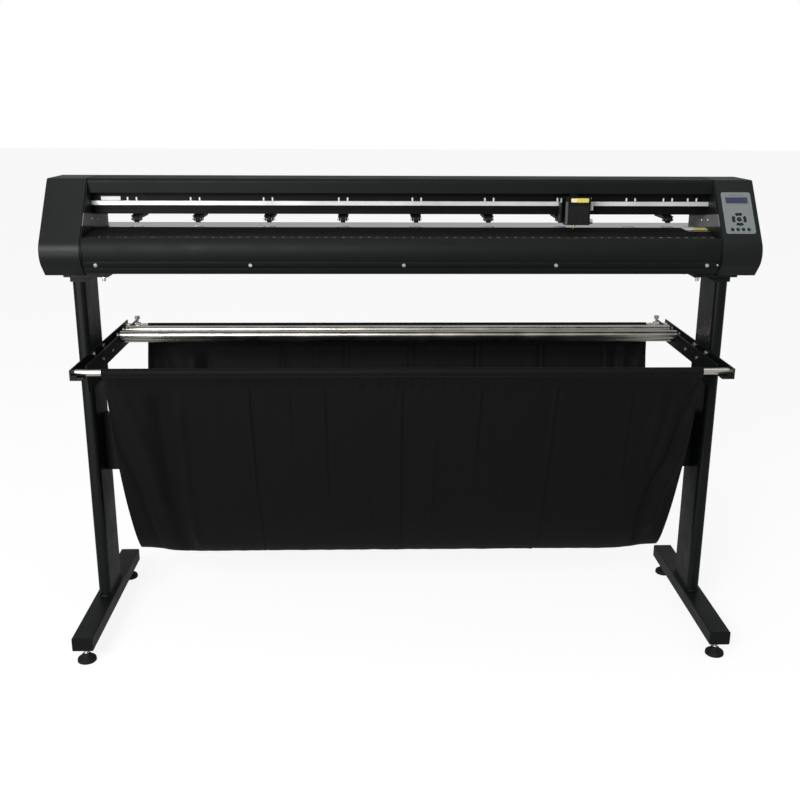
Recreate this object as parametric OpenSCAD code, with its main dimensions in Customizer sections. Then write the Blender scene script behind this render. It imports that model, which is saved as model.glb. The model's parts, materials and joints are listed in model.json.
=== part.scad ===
// Wide-format vinyl cutter on a T-leg stand with a fabric media basket.
// X runs to the operator's right, Y to the rear and Z up. The origin is on the floor,
// at the middle of the machine's footprint.

/* [Cutting head] */
// Clear width between the two end caps
bay_w = 1480; // [1440:10:1560]
// Width of each end cap
cap_w = 92; // [88:2:110]
// Height of the head's underside above the floor
body_z = 909; // [860:1:960]
// Height of the head
body_h = 216; // [214:1:222]
// Wall thickness of the plastic end caps
cap_wall = 3; // [2.5:0.5:4]
// Rest position of the carriage, from the middle of the bay
carriage_x = 408; // [-500:1:560]

/* [Stand] */
// Length of each foot beam, front to back
foot_len = 500; // [420:10:560]
// Width of each foot beam
foot_w = 50; // [44:1:60]
// Height of each foot beam
foot_h = 34; // [30:1:40]
// Gap between the floor and the foot beams
foot_gap = 40; // [36:1:46]
// Width of a leg tube, across the machine
leg_w = 30; // [26:1:34]
// Depth of a leg tube, front to back
leg_d = 126; // [100:1:130]

/* [Media basket] */
// Width of the cloth basket
basket_w = 1372; // [1300:2:1380]
// Depth of the basket below its bars
basket_drop = 553; // [450:1:580]
// Diameter of the front and rear basket bars
bar_d = 16; // [14:1:18]
// Diameter of the two media support rollers
roller_d = 22; // [20:1:25]

/* [Feed] */
// Radius of the knurled grit wheels
grit_r = 12; // [11.5:0.1:12]
// Radius of the rubber pinch wheels
pinch_r = 8; // [7.5:0.1:8]
// Teeth on the grit shaft's gear
gear_teeth = 48; // [48:3:48]

/* [Hidden] */

$fn = 48;

// Head levels
body_top = body_z + body_h;
half_bay = bay_w / 2;
head_end = half_bay + cap_w;
plate_t = 3;
side_in = half_bay - plate_t;
head_rear = 133;

// End cap outline in Y and Z: a sloping face between a round belly and a round top edge
slope_a = 52.5;
slope_y0 = -132.8;
slope_z0 = body_z + 81.75;
belly_r = 45;
belly_a = 222;
brow_r = 9;
low_front_y = -112;
slope_z1 = body_top - brow_r * (1 - cos(slope_a));
slope_y1 = slope_y0 + (slope_z1 - slope_z0) / tan(slope_a);
belly_c = [slope_y0 + belly_r * sin(slope_a), slope_z0 - belly_r * cos(slope_a)];
brow_c = [slope_y1 + brow_r * sin(slope_a), slope_z1 - brow_r * cos(slope_a)];
rear_r = 40;

// Tray, platen, beam and rail levels
pan_z = body_z + 5;
pan_t = 3;
pan_front_y = -117;
pan_rear_y = 126;
platen_z = body_z + 101;
platen_t = 3;
platen_front_y = -116;
platen_flat_y = -8;
platen_rear_y = 98;
platen_rear_r = 30;
platen_fall = 0.12;
grit_y = 4;
grit_z = platen_z + 0.5 - grit_r;
beam_front_y = -5;
beam_rear_y = 50;
beam_wall = 3;
beam_z0 = platen_z + 31;
beam_z1 = beam_z0 + 51;
rail_z = beam_z0 + 26;
rail_w = 10;
cover_lip_y = -32;
cover_t = 2;
cover_rear_z = platen_z + 35;
apron_screw_z = body_z + 28;
apron_screw_x = [for (i = [-2:2]) i * 354];
apron_c = [-85, body_z + 55];
apron_r = 50;
apron_low = [-121, pan_z + 6];
apron_turn = apron_c + apron_r * [cos(200), sin(200)];
apron_screw_a = atan((apron_low[0] - apron_turn[0]) / (apron_turn[1] - apron_low[1]));
apron_screw_y = apron_turn[0] + (apron_turn[1] - apron_screw_z) * tan(apron_screw_a);
apron_t = 2.5;

// Pinch units: their places along X, and the square shaft that they hang on
pinch_x = [-636, -490, -320, -143, 33, 208, 383, 645];
pinch_count = len(pinch_x);
grit_x = concat(pinch_x, [550, 700]);
block_x = [-563, -405, -55, 295, 480, 600];
lift_y = 66;
lift_z = platen_z + 46;
lift_w = 12;
wheel_y = -0.3;
wheel_z = platen_z + 18;
arm_half = 12;
fork_in = 7;
lever_x = 720;
lever_end_y = head_rear + 30;
fit = 0.05;

// Feed gears
gear_m = 1;
pinion_teeth = gear_teeth / 3;
gear_r = gear_m * gear_teeth / 2;
pinion_r = gear_m * pinion_teeth / 2;
gear_x = -half_bay - 9.5;
gear_w = 8;
pinion_z = grit_z - gear_r - pinion_r - 0.2;
shaft_r = 3;
motor_w = 57;
motor_l = 52;
feed_motor_x = gear_x - 8;

// Belt drive, with upright pulley axes inside the end caps
belt_y = -14;
belt_t = 1.6;
belt_h = 10;
belt_z = beam_z1 + 8;
pulley_r = 10.2;
pulley_y = belt_y + pulley_r + belt_t / 2;
pulley_x = half_bay + 35;
motor_top = beam_z1 - 4;

// Stand
foot_y = -45;
leg_x = half_bay + 10 + leg_w / 2;
leg_y0 = foot_y - 37;
leg_yc = leg_y0 + leg_d / 2;
leg_r = 12;
foot_top = foot_gap + foot_h;
leg_top = body_z - 19;
saddle_t = 5;
saddle_bolt_x = leg_x - leg_w / 2 - 44;
saddle_bolt_y = [leg_y0 + 10, leg_y0 + leg_d - 10];
stretcher_z0 = 395;
stretcher_h = 146;
stretcher_y0 = -10;
stretcher_d = 26;
stretcher_screw_z = [stretcher_z0 + 18, stretcher_z0 + stretcher_h - 18];
stretcher_screw_y = stretcher_y0 + 34;
pad_inset = 25;
tube_t = 2;
plug_t = 2;

// Basket arms, bars and rollers
arm_x1 = leg_x - leg_w / 2;
arm_w = 28;
arm_z0 = 697;
arm_wall_h = 24;
arm_t = 3;
arm_y0 = -261;
arm_y1 = 297;
inner_y0 = -218;
inner_step_y = -37;
inner_drop = 16;
inner_step = 40;
arm_bolt_y = [leg_y0 + 18, leg_y0 + leg_d - 18];
arm_bolt_z = arm_z0 + 14;
front_bar_y = -231;
rear_bar_y = 272;
bar_z = arm_z0 + arm_t + bar_d / 2;
roller_z = arm_z0 + 23;
roller_front_y = 104;
roller_rear_y = 170;
tie_bar_y = 138;
tie_bar_z = arm_z0 + 6;
tie_bar_d = 18;
ear_r = 10;
axle_r = 5;
cloth_t = 4;
hem_t = 2.5;

// Control panel on the right end cap's sloping face
panel_x = half_bay + cap_w / 2 - 0.5;
panel_up = 78.5;
panel_w = 70;
panel_l = 112;
panel_t = 2.5;
panel_sink = 1.5;
key_gap = 0.4;
key_bottom = -0.4;
key_top = 1.6;
nav_up = -17.5;
nav_r0 = 10.5;
nav_r1 = 17;
nav_span = 62;
centre_key_r = 5.5;
fkey_up = -45;
fkey_r = 4;
fkey_pitch = 12.9;
fkey_x = [for (i = [0:3]) (i - 1.5) * fkey_pitch];
display_up = 33.5;
display_w = 52;
display_l = 16;

// Rocker switch and mains inlet on the right cap's rear wall
inlet_x = half_bay + 52;
inlet_z = body_z + 52;
inlet_w = 27;
inlet_h = 19;
rocker_z = body_z + 92;
rocker_w = 13;
rocker_h = 19;
rocker_y = head_rear - 1;

// Screw sizes
m6_r = 3;
m8_r = 4;
hole_gap = 0.3;

// ---------- helpers ----------

// Points of an arc from angle a0 to a1
function arc(cy, cz, r, a0, a1, n = 8) =
    [for (i = [0:n]) let (a = a0 + (a1 - a0) * i / n) [cy + r * cos(a), cz + r * sin(a)]];

function reversed(points) = [for (i = [len(points) - 1:-1:0]) points[i]];

// Extrudes an outline given in Y and Z along X, from x0 to x1
module along_x(x0, x1) {
    translate([x0, 0, 0]) rotate([90, 0, 90]) linear_extrude(x1 - x0) children();
}

module box(x0, x1, y0, y1, z0, z1) {
    translate([x0, y0, z0]) cube([x1 - x0, y1 - y0, z1 - z0]);
}

// Rod along X
module rod_x(x0, x1, y, z, r) {
    translate([x0, y, z]) rotate([0, 90, 0]) cylinder(h = x1 - x0, r = r);
}

// Rod along Y
module rod_y(x, y0, y1, z, r) {
    translate([x, y1, z]) rotate([90, 0, 0]) cylinder(h = y1 - y0, r = r);
}

// Rod along Z
module rod_z(x, y, z0, z1, r) {
    translate([x, y, z0]) cylinder(h = z1 - z0, r = r);
}

// Rectangle with round corners, centred
module round_rect(w, h, r) {
    polygon(concat(arc(w / 2 - r, h / 2 - r, r, 0, 90, 6), arc(r - w / 2, h / 2 - r, r, 90, 180, 6),
        arc(r - w / 2, r - h / 2, r, 180, 270, 6), arc(w / 2 - r, r - h / 2, r, 270, 360, 6)));
}

module both_sides() {
    children();
    mirror([1, 0, 0]) children();
}

// Frame of the sloping panel: X across, Y up the slope, Z out of the face
module on_slope() {
    translate([panel_x, slope_y0, slope_z0]) rotate([slope_a, 0, 0])
        translate([0, panel_up, 0]) children();
}

// Straight-sided gear along X
module gear(teeth, m, w, bore, phase = 0) {
    r = teeth * m / 2;
    rotate([90, 0, 90]) linear_extrude(w) difference() {
        polygon([for (i = [0:teeth - 1]) each
            [for (p = [[-0.27, -1.15], [-0.17, 0.9], [0.17, 0.9], [0.27, -1.15]])
                let (a = (i + phase + p[0]) * 360 / teeth, q = r + p[1] * m)
                [q * cos(a), q * sin(a)]]]);
        circle(r = bore);
    }
}

// ---------- stand ----------

module foot_beams() color([0.16, 0.17, 0.17]) both_sides()
    translate([leg_x, foot_y + foot_len / 2, foot_gap + foot_h / 2]) rotate([90, 0, 0])
        linear_extrude(foot_len) difference() {
            round_rect(foot_w, foot_h, 3);
            round_rect(foot_w - 2 * tube_t, foot_h - 2 * tube_t, 1.5);
        }

// Plastic plugs, pressed into both ends of each foot beam
module foot_plugs() color([0.06, 0.06, 0.06]) both_sides()
    for (s = [-1, 1]) translate([leg_x, foot_y + s * foot_len / 2, foot_gap + foot_h / 2])
        rotate([s * -90, 0, 0]) {
            linear_extrude(plug_t) round_rect(foot_w, foot_h, 3);
            translate([0, 0, -12]) linear_extrude(12)
                round_rect(foot_w - 2 * tube_t - 0.4, foot_h - 2 * tube_t - 0.4, 1.5);
        }

// Oval leg tubes, welded to the tapered saddles that carry the head
module legs() color([0.07, 0.075, 0.075]) both_sides() difference() {
    union() {
        translate([leg_x, leg_yc, foot_top]) linear_extrude(leg_top - foot_top) difference() {
            round_rect(leg_w, leg_d, leg_r);
            round_rect(leg_w - 2 * tube_t, leg_d - 2 * tube_t, leg_r - tube_t);
        }
        translate([0, leg_y0 + leg_d, 0]) rotate([90, 0, 0]) linear_extrude(leg_d)
            polygon([[leg_x - leg_w / 2 - 3, leg_top], [leg_x + leg_w / 2 + 3, leg_top],
                [leg_x + leg_w / 2 + 3, body_z - saddle_t],
                [leg_x - leg_w / 2 - 32, body_z - saddle_t]]);
        box(saddle_bolt_x - 18, leg_x + leg_w / 2 + 12, leg_y0 - 20, leg_y0 + leg_d + 20,
            body_z - saddle_t, body_z);
        box(saddle_bolt_x - 18, side_in, leg_y0 - 20, leg_y0 + leg_d + 20, body_z - 1, pan_z);
    }
    for (y = saddle_bolt_y) rod_z(saddle_bolt_x, y, body_z - saddle_t - 1, pan_z + 1, m8_r + hole_gap);
    for (y = arm_bolt_y) rod_x(arm_x1 - 1, arm_x1 + tube_t + 1, y, arm_bolt_z, m6_r + hole_gap);
    for (z = stretcher_screw_z)
        rod_x(arm_x1 - 1, arm_x1 + tube_t + 1, stretcher_screw_y, z, m6_r + hole_gap);
}

// Four rubber pads on threaded studs with lock nuts
module levelling_feet() color([0.05, 0.05, 0.05]) both_sides()
    for (y = [foot_y - foot_len / 2 + pad_inset, foot_y + foot_len / 2 - pad_inset])
        translate([leg_x, y, 0]) {
            rotate_extrude()
                polygon([[0, 0], [22.5, 0], [22.5, 5], [21, 9], [11, 17], [8, 22], [0, 22]]);
            cylinder(h = foot_gap, r = 5);
            translate([0, 0, foot_gap - 8]) cylinder(h = 8, r = 9.5, $fn = 6);
        }

// Folded cross member between the legs
module cross_stretcher() color([0.06, 0.065, 0.065]) difference() {
    union() {
        along_x(-arm_x1, arm_x1) difference() {
            translate([stretcher_y0, stretcher_z0]) square([stretcher_d, stretcher_h]);
            translate([stretcher_y0 + tube_t, stretcher_z0 + tube_t])
                square([stretcher_d, stretcher_h - 2 * tube_t]);
        }
        both_sides() box(arm_x1 - tube_t, arm_x1, stretcher_y0, stretcher_y0 + 44,
            stretcher_z0 + tube_t, stretcher_z0 + stretcher_h - tube_t);
    }
    for (z = stretcher_screw_z) both_sides()
        rod_x(arm_x1 - tube_t - 1, arm_x1 + 1, stretcher_screw_y, z, m6_r + hole_gap);
}

// ---------- basket ----------

// One arm: a channel open upwards, with a deeper inner wall and two ears for the rollers
module basket_arms() color([0.07, 0.075, 0.075]) both_sides() difference() {
    x0 = arm_x1 - arm_w;
    union() {
        box(arm_x1 - arm_t, arm_x1, arm_y0, arm_y1, arm_z0, arm_z0 + arm_wall_h);
        box(x0, arm_x1, arm_y0, arm_y1, arm_z0, arm_z0 + arm_t);
        box(arm_x1 - 16, arm_x1, arm_y0, arm_y0 + arm_t, arm_z0, arm_z0 + 12);
        box(x0, x0 + arm_t, inner_y0, arm_y1, arm_z0 - inner_drop, arm_z0 + arm_wall_h);
        box(x0, x0 + arm_t, inner_y0, inner_step_y, arm_z0 - inner_step, arm_z0);
        for (y = [roller_front_y, roller_rear_y]) {
            box(x0, x0 + arm_t, y - ear_r, y + ear_r, arm_z0, roller_z);
            rod_x(x0, x0 + arm_t, y, roller_z, ear_r);
        }
    }
    for (y = [roller_front_y, roller_rear_y]) rod_x(x0 - 1, x0 + arm_t + 1, y, roller_z, axle_r + fit);
    for (y = arm_bolt_y) rod_x(arm_x1 - arm_t - 1, arm_x1 + 1, y, arm_bolt_z, m6_r + hole_gap);
    rod_x(x0 - 1, x0 + arm_t + 1, rear_bar_y, bar_z, bar_d / 2);
    rod_x(x0 - 1, x0 + arm_t + 1, tie_bar_y, tie_bar_z, tie_bar_d / 2);
    box(x0 + arm_t, x0 + arm_t + 13, tie_bar_y - 11, tie_bar_y + 11, arm_z0 - 1, arm_z0 + arm_t + 1);
}

// Front and rear bars that carry the cloth, and the tie bar between the arms
module basket_bars() color([0.75, 0.75, 0.75]) {
    end_x = arm_x1 - arm_t;
    rod_x(-end_x, end_x, front_bar_y, bar_z, bar_d / 2);
    rod_x(1 - end_x, end_x - 1, rear_bar_y, bar_z, bar_d / 2);
    rod_x(12 - end_x, end_x - 12, tie_bar_y, tie_bar_z, tie_bar_d / 2);
}

// Hanging curve of the cloth between the two bars: depth falls as a power of the distance
cloth_half = (rear_bar_y - front_bar_y) / 2;
cloth_mid = (rear_bar_y + front_bar_y) / 2;
cloth_power = 0.8;
cloth_soft = 0.01;
function hang(t) = (pow(t * t + cloth_soft, cloth_power) - pow(cloth_soft, cloth_power))
    / (pow(1 + cloth_soft, cloth_power) - pow(cloth_soft, cloth_power));
function cloth_point(t, w) = let (
    dz = basket_drop * (hang(t + 0.001) - hang(t - 0.001)) / 0.002 / cloth_half,
    l = sqrt(1 + dz * dz))
    [cloth_mid + cloth_half * t - w * dz / l, bar_z - basket_drop * (1 - hang(t)) + w / l];
cloth_ts = [for (i = [-24:24]) i / 24];

// Cloth hung from both bars, with a sleeve around each
module media_basket() color([0.03, 0.03, 0.035])
    along_x(-basket_w / 2, basket_w / 2) difference() {
        union() {
            polygon(concat([for (t = cloth_ts) cloth_point(t, -cloth_t / 2)],
                [for (t = cloth_ts) cloth_point(-t, cloth_t / 2)]));
            for (y = [front_bar_y, rear_bar_y]) translate([y, bar_z]) circle(r = bar_d / 2 + hem_t);
        }
        for (y = [front_bar_y, rear_bar_y]) translate([y, bar_z]) circle(r = bar_d / 2);
    }

// Roller tube with stepped axle ends that turn in the arms' ears
module support_roller(y) {
    ear_x = arm_x1 - arm_w;
    rod_x(1 - ear_x, ear_x - 1, y, roller_z, roller_d / 2);
    rod_x(-ear_x - arm_t - 6, ear_x + arm_t + 6, y, roller_z, axle_r);
}
module support_roller_front() color([0.8, 0.8, 0.8]) support_roller(roller_front_y);
module support_roller_rear() color([0.8, 0.8, 0.8]) support_roller(roller_rear_y);

// ---------- head structure ----------

// Outline of an end cap, drawn in Y and Z
module cap_outline() polygon(concat(
    arc(low_front_y + 8, body_z + 8, 8, belly_a, 270, 4),
    arc(head_rear - 10, body_z + 10, 10, 270, 360, 4),
    arc(head_rear - rear_r, body_top - rear_r, rear_r, 0, 90, 8),
    arc(brow_c[0], brow_c[1], brow_r, 90, 90 + slope_a, 5),
    arc(belly_c[0], belly_c[1], belly_r, 90 + slope_a, belly_a, 10)));

module inset(d) offset(delta = -d) children();

// Puts children on the apron's lower face at a screw, with +Z outwards along its axis
module on_apron(x)
    translate([x, apron_screw_y, apron_screw_z]) rotate([90 + apron_screw_a, 0, 0]) children();

// Lower sheet-metal tray that joins the two side plates
module chassis_pan() color([0.09, 0.095, 0.095]) difference() {
    union() {
        box(-side_in, side_in, pan_front_y, pan_rear_y, pan_z, pan_z + pan_t);
        box(-side_in, side_in, pan_rear_y - pan_t, pan_rear_y, pan_z, platen_z - platen_rear_r + 3.5);
        box(-side_in, side_in, pan_front_y, pan_front_y + pan_t, pan_z, pan_z + 43);
    }
    for (s = [-1, 1], y = saddle_bolt_y)
        rod_z(s * saddle_bolt_x, y, pan_z - 1, pan_z + pan_t + 1, m8_r + hole_gap);
    for (x = apron_screw_x) on_apron(x) translate([0, 0, -30]) cylinder(h = 25, r = 2.2);
}

// Outline of the platen: sloping front, flat top and rounded rear
function platen_top(y) = platen_z - max(0, platen_flat_y - y) * platen_fall;
module platen_outline() polygon(concat(
    [[platen_flat_y, platen_z - platen_t],
     [platen_front_y, platen_top(platen_front_y) - platen_t],
     [platen_front_y, platen_top(platen_front_y)],
     [platen_flat_y, platen_z]],
    arc(platen_rear_y, platen_z - platen_rear_r, platen_rear_r, 90, 10, 8),
    arc(platen_rear_y, platen_z - platen_rear_r, platen_rear_r - platen_t, 10, 90, 8)));

// Platen with its two stiffening webs and a slot over each grit wheel
module platen() color([0.3, 0.31, 0.32]) difference() {
    union() {
        along_x(-side_in, side_in) platen_outline();
        for (y = [-48, 54]) box(-side_in, side_in, y, y + 3, pan_z + pan_t, platen_top(y) - 1.5);
    }
    for (x = grit_x) box(x - 14, x + 14, grit_y - 11, grit_y + 11, platen_z - 8, platen_z + 1);
}

// Curved front cover, screwed to the tray's front flange
module apron_outline(d) {
    top_z = platen_top(platen_front_y) + 1 - d;
    polygon(concat([[platen_front_y + 6, top_z], [apron_c[0] - 36 + d, top_z]],
        arc(apron_c[0], apron_c[1], apron_r - d, 140, 200, 12),
        [[apron_low[0] + d, apron_low[1]], [-119 + d, pan_z + 2 + d * 0.8], [platen_front_y + 6, pan_z + 2 + d * 0.8]]));
}
module front_apron() color([0.06, 0.065, 0.065]) difference() {
    along_x(-side_in, side_in) difference() {
        apron_outline(0);
        apron_outline(apron_t);
        translate([platen_front_y, pan_z]) square([20, 120]);
        translate([pan_front_y, pan_z]) square([20, 50]);
    }
    for (x = apron_screw_x) on_apron(x) translate([0, 0, -5]) cylinder(h = 10, r = 2.2);
}

// Steel side plates, just inside the end caps, with a window for the belt
module side_plates() color([0.36, 0.35, 0.33]) both_sides() difference() {
    along_x(side_in, half_bay) difference() {
        inset(cap_wall + 0.4) cap_outline();
        translate([belt_y - 8, belt_z - belt_h / 2 - 4]) square([38, belt_h + 8]);
    }
    rod_x(side_in - 1, half_bay + 1, grit_y, grit_z, 8);
    rod_x(side_in - 1, half_bay + 1, lift_y, lift_z, 11);
}

// Bushes in the side plates, and pillow blocks along the grit shaft
module bearings() color([0.62, 0.62, 0.6]) {
    both_sides() {
        difference() {
            rod_x(side_in, half_bay, grit_y, grit_z, 8);
            rod_x(side_in - 1, half_bay + 1, grit_y, grit_z, axle_r + fit);
        }
        difference() {
            union() {
                rod_x(side_in, half_bay, lift_y, lift_z, 11);
                rod_x(side_in - 2, side_in, lift_y, lift_z, 13);
            }
            rod_x(side_in - 3, half_bay + 1, lift_y, lift_z, lift_w / 2 + fit);
        }
    }
    for (x = block_x) difference() {
        union() {
            box(x - 6, x + 6, grit_y - 12, grit_y + 12, pan_z + pan_t, grit_z);
            rod_x(x - 6, x + 6, grit_y, grit_z, 12);
        }
        rod_x(x - 7, x + 7, grit_y, grit_z, axle_r + fit);
        box(x - 7, x + 7, grit_y - 13, grit_y + 13, grit_z + 7, grit_z + 20);
    }
}

// End cap shell: open towards the bay, where the side plate closes it
module cap_shell() difference() {
    along_x(half_bay, head_end) cap_outline();
    along_x(half_bay - 1, head_end - cap_wall) inset(cap_wall) cap_outline();
}

module left_end_cap() color([0.07, 0.075, 0.075]) mirror([1, 0, 0]) cap_shell();

module right_end_cap() color([0.07, 0.075, 0.075]) difference() {
    cap_shell();
    on_slope() translate([0, 0, -panel_sink]) linear_extrude(4)
        round_rect(panel_w + 0.4, panel_l + 0.4, 5);
    box(inlet_x - inlet_w / 2, inlet_x + inlet_w / 2, head_rear - 6, head_rear + 1,
        inlet_z - inlet_h / 2, inlet_z + inlet_h / 2);
    box(inlet_x - rocker_w / 2 - 1, inlet_x + rocker_w / 2 + 1, head_rear - 6, head_rear + 1,
        rocker_z - rocker_h / 2 - 1.2, rocker_z + rocker_h / 2 + 1.2);
}

// Long cover over the beam, bent from one sheet; its rear wall has a notch for the lift lever
function cover_path(d) = concat(
    [[cover_lip_y + d, beam_z1]],
    arc(cover_lip_y + 9, body_top - 9, 9 - d, 180, 90, 5),
    arc(head_rear - rear_r - 2, body_top - rear_r, rear_r - d, 90, 0, 8),
    [[head_rear - 2 - d, cover_rear_z]]);
module top_cover() color([0.06, 0.065, 0.065]) difference() {
    along_x(-side_in, side_in) polygon(concat(cover_path(0), reversed(cover_path(cover_t))));
    box(lever_x - 12, lever_x + 12, head_rear - 10, head_rear + 1, cover_rear_z - 1, cover_rear_z + 26);
}

module rail_beam() color([0.06, 0.06, 0.06]) along_x(-side_in, side_in) difference() {
    translate([beam_front_y, beam_z0]) square([beam_rear_y - beam_front_y, beam_z1 - beam_z0]);
    translate([beam_front_y + beam_wall, beam_z0 + beam_wall])
        square([beam_rear_y - beam_front_y - 2 * beam_wall, beam_z1 - beam_z0 - 2 * beam_wall]);
}

module guide_rail() color([0.82, 0.82, 0.8])
    box(-side_in, side_in, beam_front_y - rail_w, beam_front_y,
        rail_z - rail_w / 2, rail_z + rail_w / 2);

// ---------- drives ----------

// Carriage motor under the drive pulley, feed motor beside the pinion, and the idler's bracket
module stepper_motors() color([0.2, 0.2, 0.21]) {
    difference() {
        translate([pulley_x, pulley_y, motor_top - motor_l]) linear_extrude(motor_l)
            round_rect(motor_w, motor_w, 6);
        rod_z(pulley_x, pulley_y, motor_top - 12, motor_top + 1, shaft_r + fit);
    }
    difference() {
        translate([feed_motor_x, grit_y, pinion_z]) rotate([0, -90, 0]) linear_extrude(motor_l)
            round_rect(motor_w, motor_w, 6);
        rod_x(feed_motor_x - 12, feed_motor_x + 1, grit_y, pinion_z, shaft_r + fit);
    }
    rod_z(-pulley_x, pulley_y, motor_top - 4, belt_z + 8, shaft_r);
    box(-pulley_x - 16, -half_bay, pulley_y - 16, pulley_y + 16, motor_top - 4, motor_top);
}

// Flanged toothed-belt pulley, drawn as a smooth drum
module pulley(bore) rotate_extrude() difference() {
    translate([bore, -belt_h / 2 - 2]) square([pulley_r - bore + 2, belt_h + 4]);
    translate([pulley_r - 0.3, -belt_h / 2 - 0.5]) square([4, belt_h + 1]);
}
// Drive pulley on the motor's shaft
module drive_pulley() color([0.7, 0.7, 0.68]) translate([pulley_x, pulley_y, belt_z]) {
    pulley(0);
    rod_z(0, 0, motor_top - 11.5 - belt_z, 0, shaft_r);
}
module idler_pulley() color([0.7, 0.7, 0.68])
    translate([-pulley_x, pulley_y, belt_z]) pulley(shaft_r + fit);

// Closed belt loop around both pulleys
module belt_loop(r) {
    for (s = [-1, 1]) translate([s * pulley_x, 0]) circle(r = r);
    translate([-pulley_x, -r]) square([2 * pulley_x, 2 * r]);
}
module drive_belt() color([0.05, 0.05, 0.05])
    translate([0, pulley_y, belt_z - belt_h / 2]) linear_extrude(belt_h) difference() {
        belt_loop(pulley_r + belt_t);
        belt_loop(pulley_r);
    }

// Grit shaft with its knurled wheels and the driven gear
module grit_shaft() color([0.55, 0.55, 0.52]) {
    rod_x(gear_x - 3, side_in + 5, grit_y, grit_z, axle_r);
    for (x = grit_x) rod_x(x - 11, x + 11, grit_y, grit_z, grit_r);
    translate([gear_x, grit_y, grit_z]) gear(gear_teeth, gear_m, gear_w, axle_r - 0.1);
}

module feed_pinion() color([0.72, 0.6, 0.3]) {
    translate([gear_x, grit_y, pinion_z]) gear(pinion_teeth, gear_m, gear_w, shaft_r - 0.1, 0.5);
    rod_x(feed_motor_x - 11.5, gear_x + gear_w - 1, grit_y, pinion_z, shaft_r);
}

// ---------- pinch rollers ----------

// Square lift shaft with round ends, and its lever through the rear opening
module lift_shaft() color([0.6, 0.6, 0.58]) {
    half = lift_w / 2;
    box(6 - side_in, side_in - 6, lift_y - half, lift_y + half, lift_z - half, lift_z + half);
    both_sides() rod_x(side_in - 7, half_bay + 3, lift_y, lift_z, half);
    box(lever_x - 5, lever_x + 5, lift_y - half, lever_end_y, lift_z - 11, lift_z - 5);
    rod_x(lever_x - 9, lever_x + 9, lever_end_y, lift_z - 8, 7);
}

// Arm on the square shaft, passing under the beam to a fork for its wheel
module pinch_arm(i) color([0.08, 0.08, 0.08]) translate([pinch_x[i], 0, 0]) difference() {
    union() {
        box(-arm_half, arm_half, lift_y - 12, lift_y + 12, lift_z - 17, lift_z + 12);
        box(-arm_half, arm_half, 12, lift_y + 12, beam_z0 - 11, beam_z0 - 2.5);
        for (s = [-1, 1]) {
            x0 = s > 0 ? fork_in : -fork_in - 3;
            x1 = s > 0 ? fork_in : -arm_half;
            box(x0, x0 + 3, wheel_y - 4, 13, wheel_z - 4, beam_z0 - 4);
            box(x1, x1 + arm_half - fork_in, wheel_y - 4, 13, wheel_z + 5, beam_z0 - 4);
        }
    }
    translate([-arm_half - 1, lift_y - lift_w / 2 - fit, lift_z - lift_w / 2 - fit])
        cube([2 * arm_half + 2, lift_w + 2 * fit, lift_w + 2 * fit]);
    rod_x(-arm_half - 1, arm_half + 1, wheel_y, wheel_z, 2 + fit);
}

// Rubber wheel on its axle
module pinch_wheel(i) color([0.12, 0.12, 0.12]) translate([pinch_x[i], 0, 0]) {
    rod_x(1 - fork_in, fork_in - 1, wheel_y, wheel_z, pinch_r);
    rod_x(-arm_half + 1, arm_half - 1, wheel_y, wheel_z, 2);
}

// ---------- carriage ----------

// Slide block around the guide rail, with the tool's mounting plate and the belt clamp
tool_y = beam_front_y - 35;
module carriage_block() color([0.5, 0.5, 0.5]) translate([carriage_x, 0, 0]) difference() {
    clamp_z = belt_z - belt_h / 2 - 1;
    side_gap = belt_t / 2 + 0.6;
    union() {
        box(-28, 28, beam_front_y - 20, beam_front_y - 3, rail_z - 14, rail_z + 14);
        box(-36, -32, beam_front_y - 44, beam_front_y - 20, rail_z - 42, rail_z + 18);
        box(-36, 34, beam_front_y - 23, beam_front_y - 20, rail_z - 42, rail_z + 18);
        box(-10, 10, beam_front_y - 19, beam_front_y - 13, rail_z + 14, clamp_z);
        box(-10, 10, beam_front_y - 15, beam_front_y - 3, clamp_z - 3, clamp_z);
        box(-10, 10, beam_front_y - 15, belt_y - side_gap, clamp_z - 3, clamp_z + 12);
        box(-10, 10, belt_y + side_gap, beam_front_y - 3, clamp_z - 3, clamp_z + 12);
        box(-12, 12, tool_y - 12, beam_front_y - 21, rail_z - 34, rail_z - 20);
    }
    box(-29, 29, beam_front_y - rail_w - fit, beam_front_y + 1,
        rail_z - rail_w / 2 - fit, rail_z + rail_w / 2 + fit);
    rod_z(0, tool_y, rail_z - 35, rail_z - 19, 7 + fit);
}

// Blade holder: barrel, collar, nose and the drag blade's tip
module blade_holder() color([0.72, 0.58, 0.28]) translate([carriage_x, tool_y, 0]) {
    rod_z(0, 0, rail_z - 42, rail_z - 8, 7);
    rod_z(0, 0, rail_z - 14.5, rail_z - 11, 10);
    rod_z(0, 0, rail_z - 50, rail_z - 42, 4);
    rod_z(0, 0, platen_z + 0.6, rail_z - 50, 1);
}

// Snap-on cover, open behind and below
module carriage_cover() color([0.05, 0.05, 0.05]) translate([carriage_x, 0, 0]) difference() {
    box(-25, 34.5, beam_front_y - 52, beam_front_y - 23, rail_z - 46, rail_z + 20);
    box(-23, 32.5, beam_front_y - 50, beam_front_y - 22, rail_z - 47, rail_z + 18);
}

// ---------- controls ----------

module nav_sector(r0, r1, mid, span) intersection() {
    difference() {
        circle(r = r1);
        circle(r = r0);
    }
    polygon([[0, 0], for (a = [mid - span / 2, mid, mid + span / 2]) [30 * cos(a), 30 * sin(a)]]);
}

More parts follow.
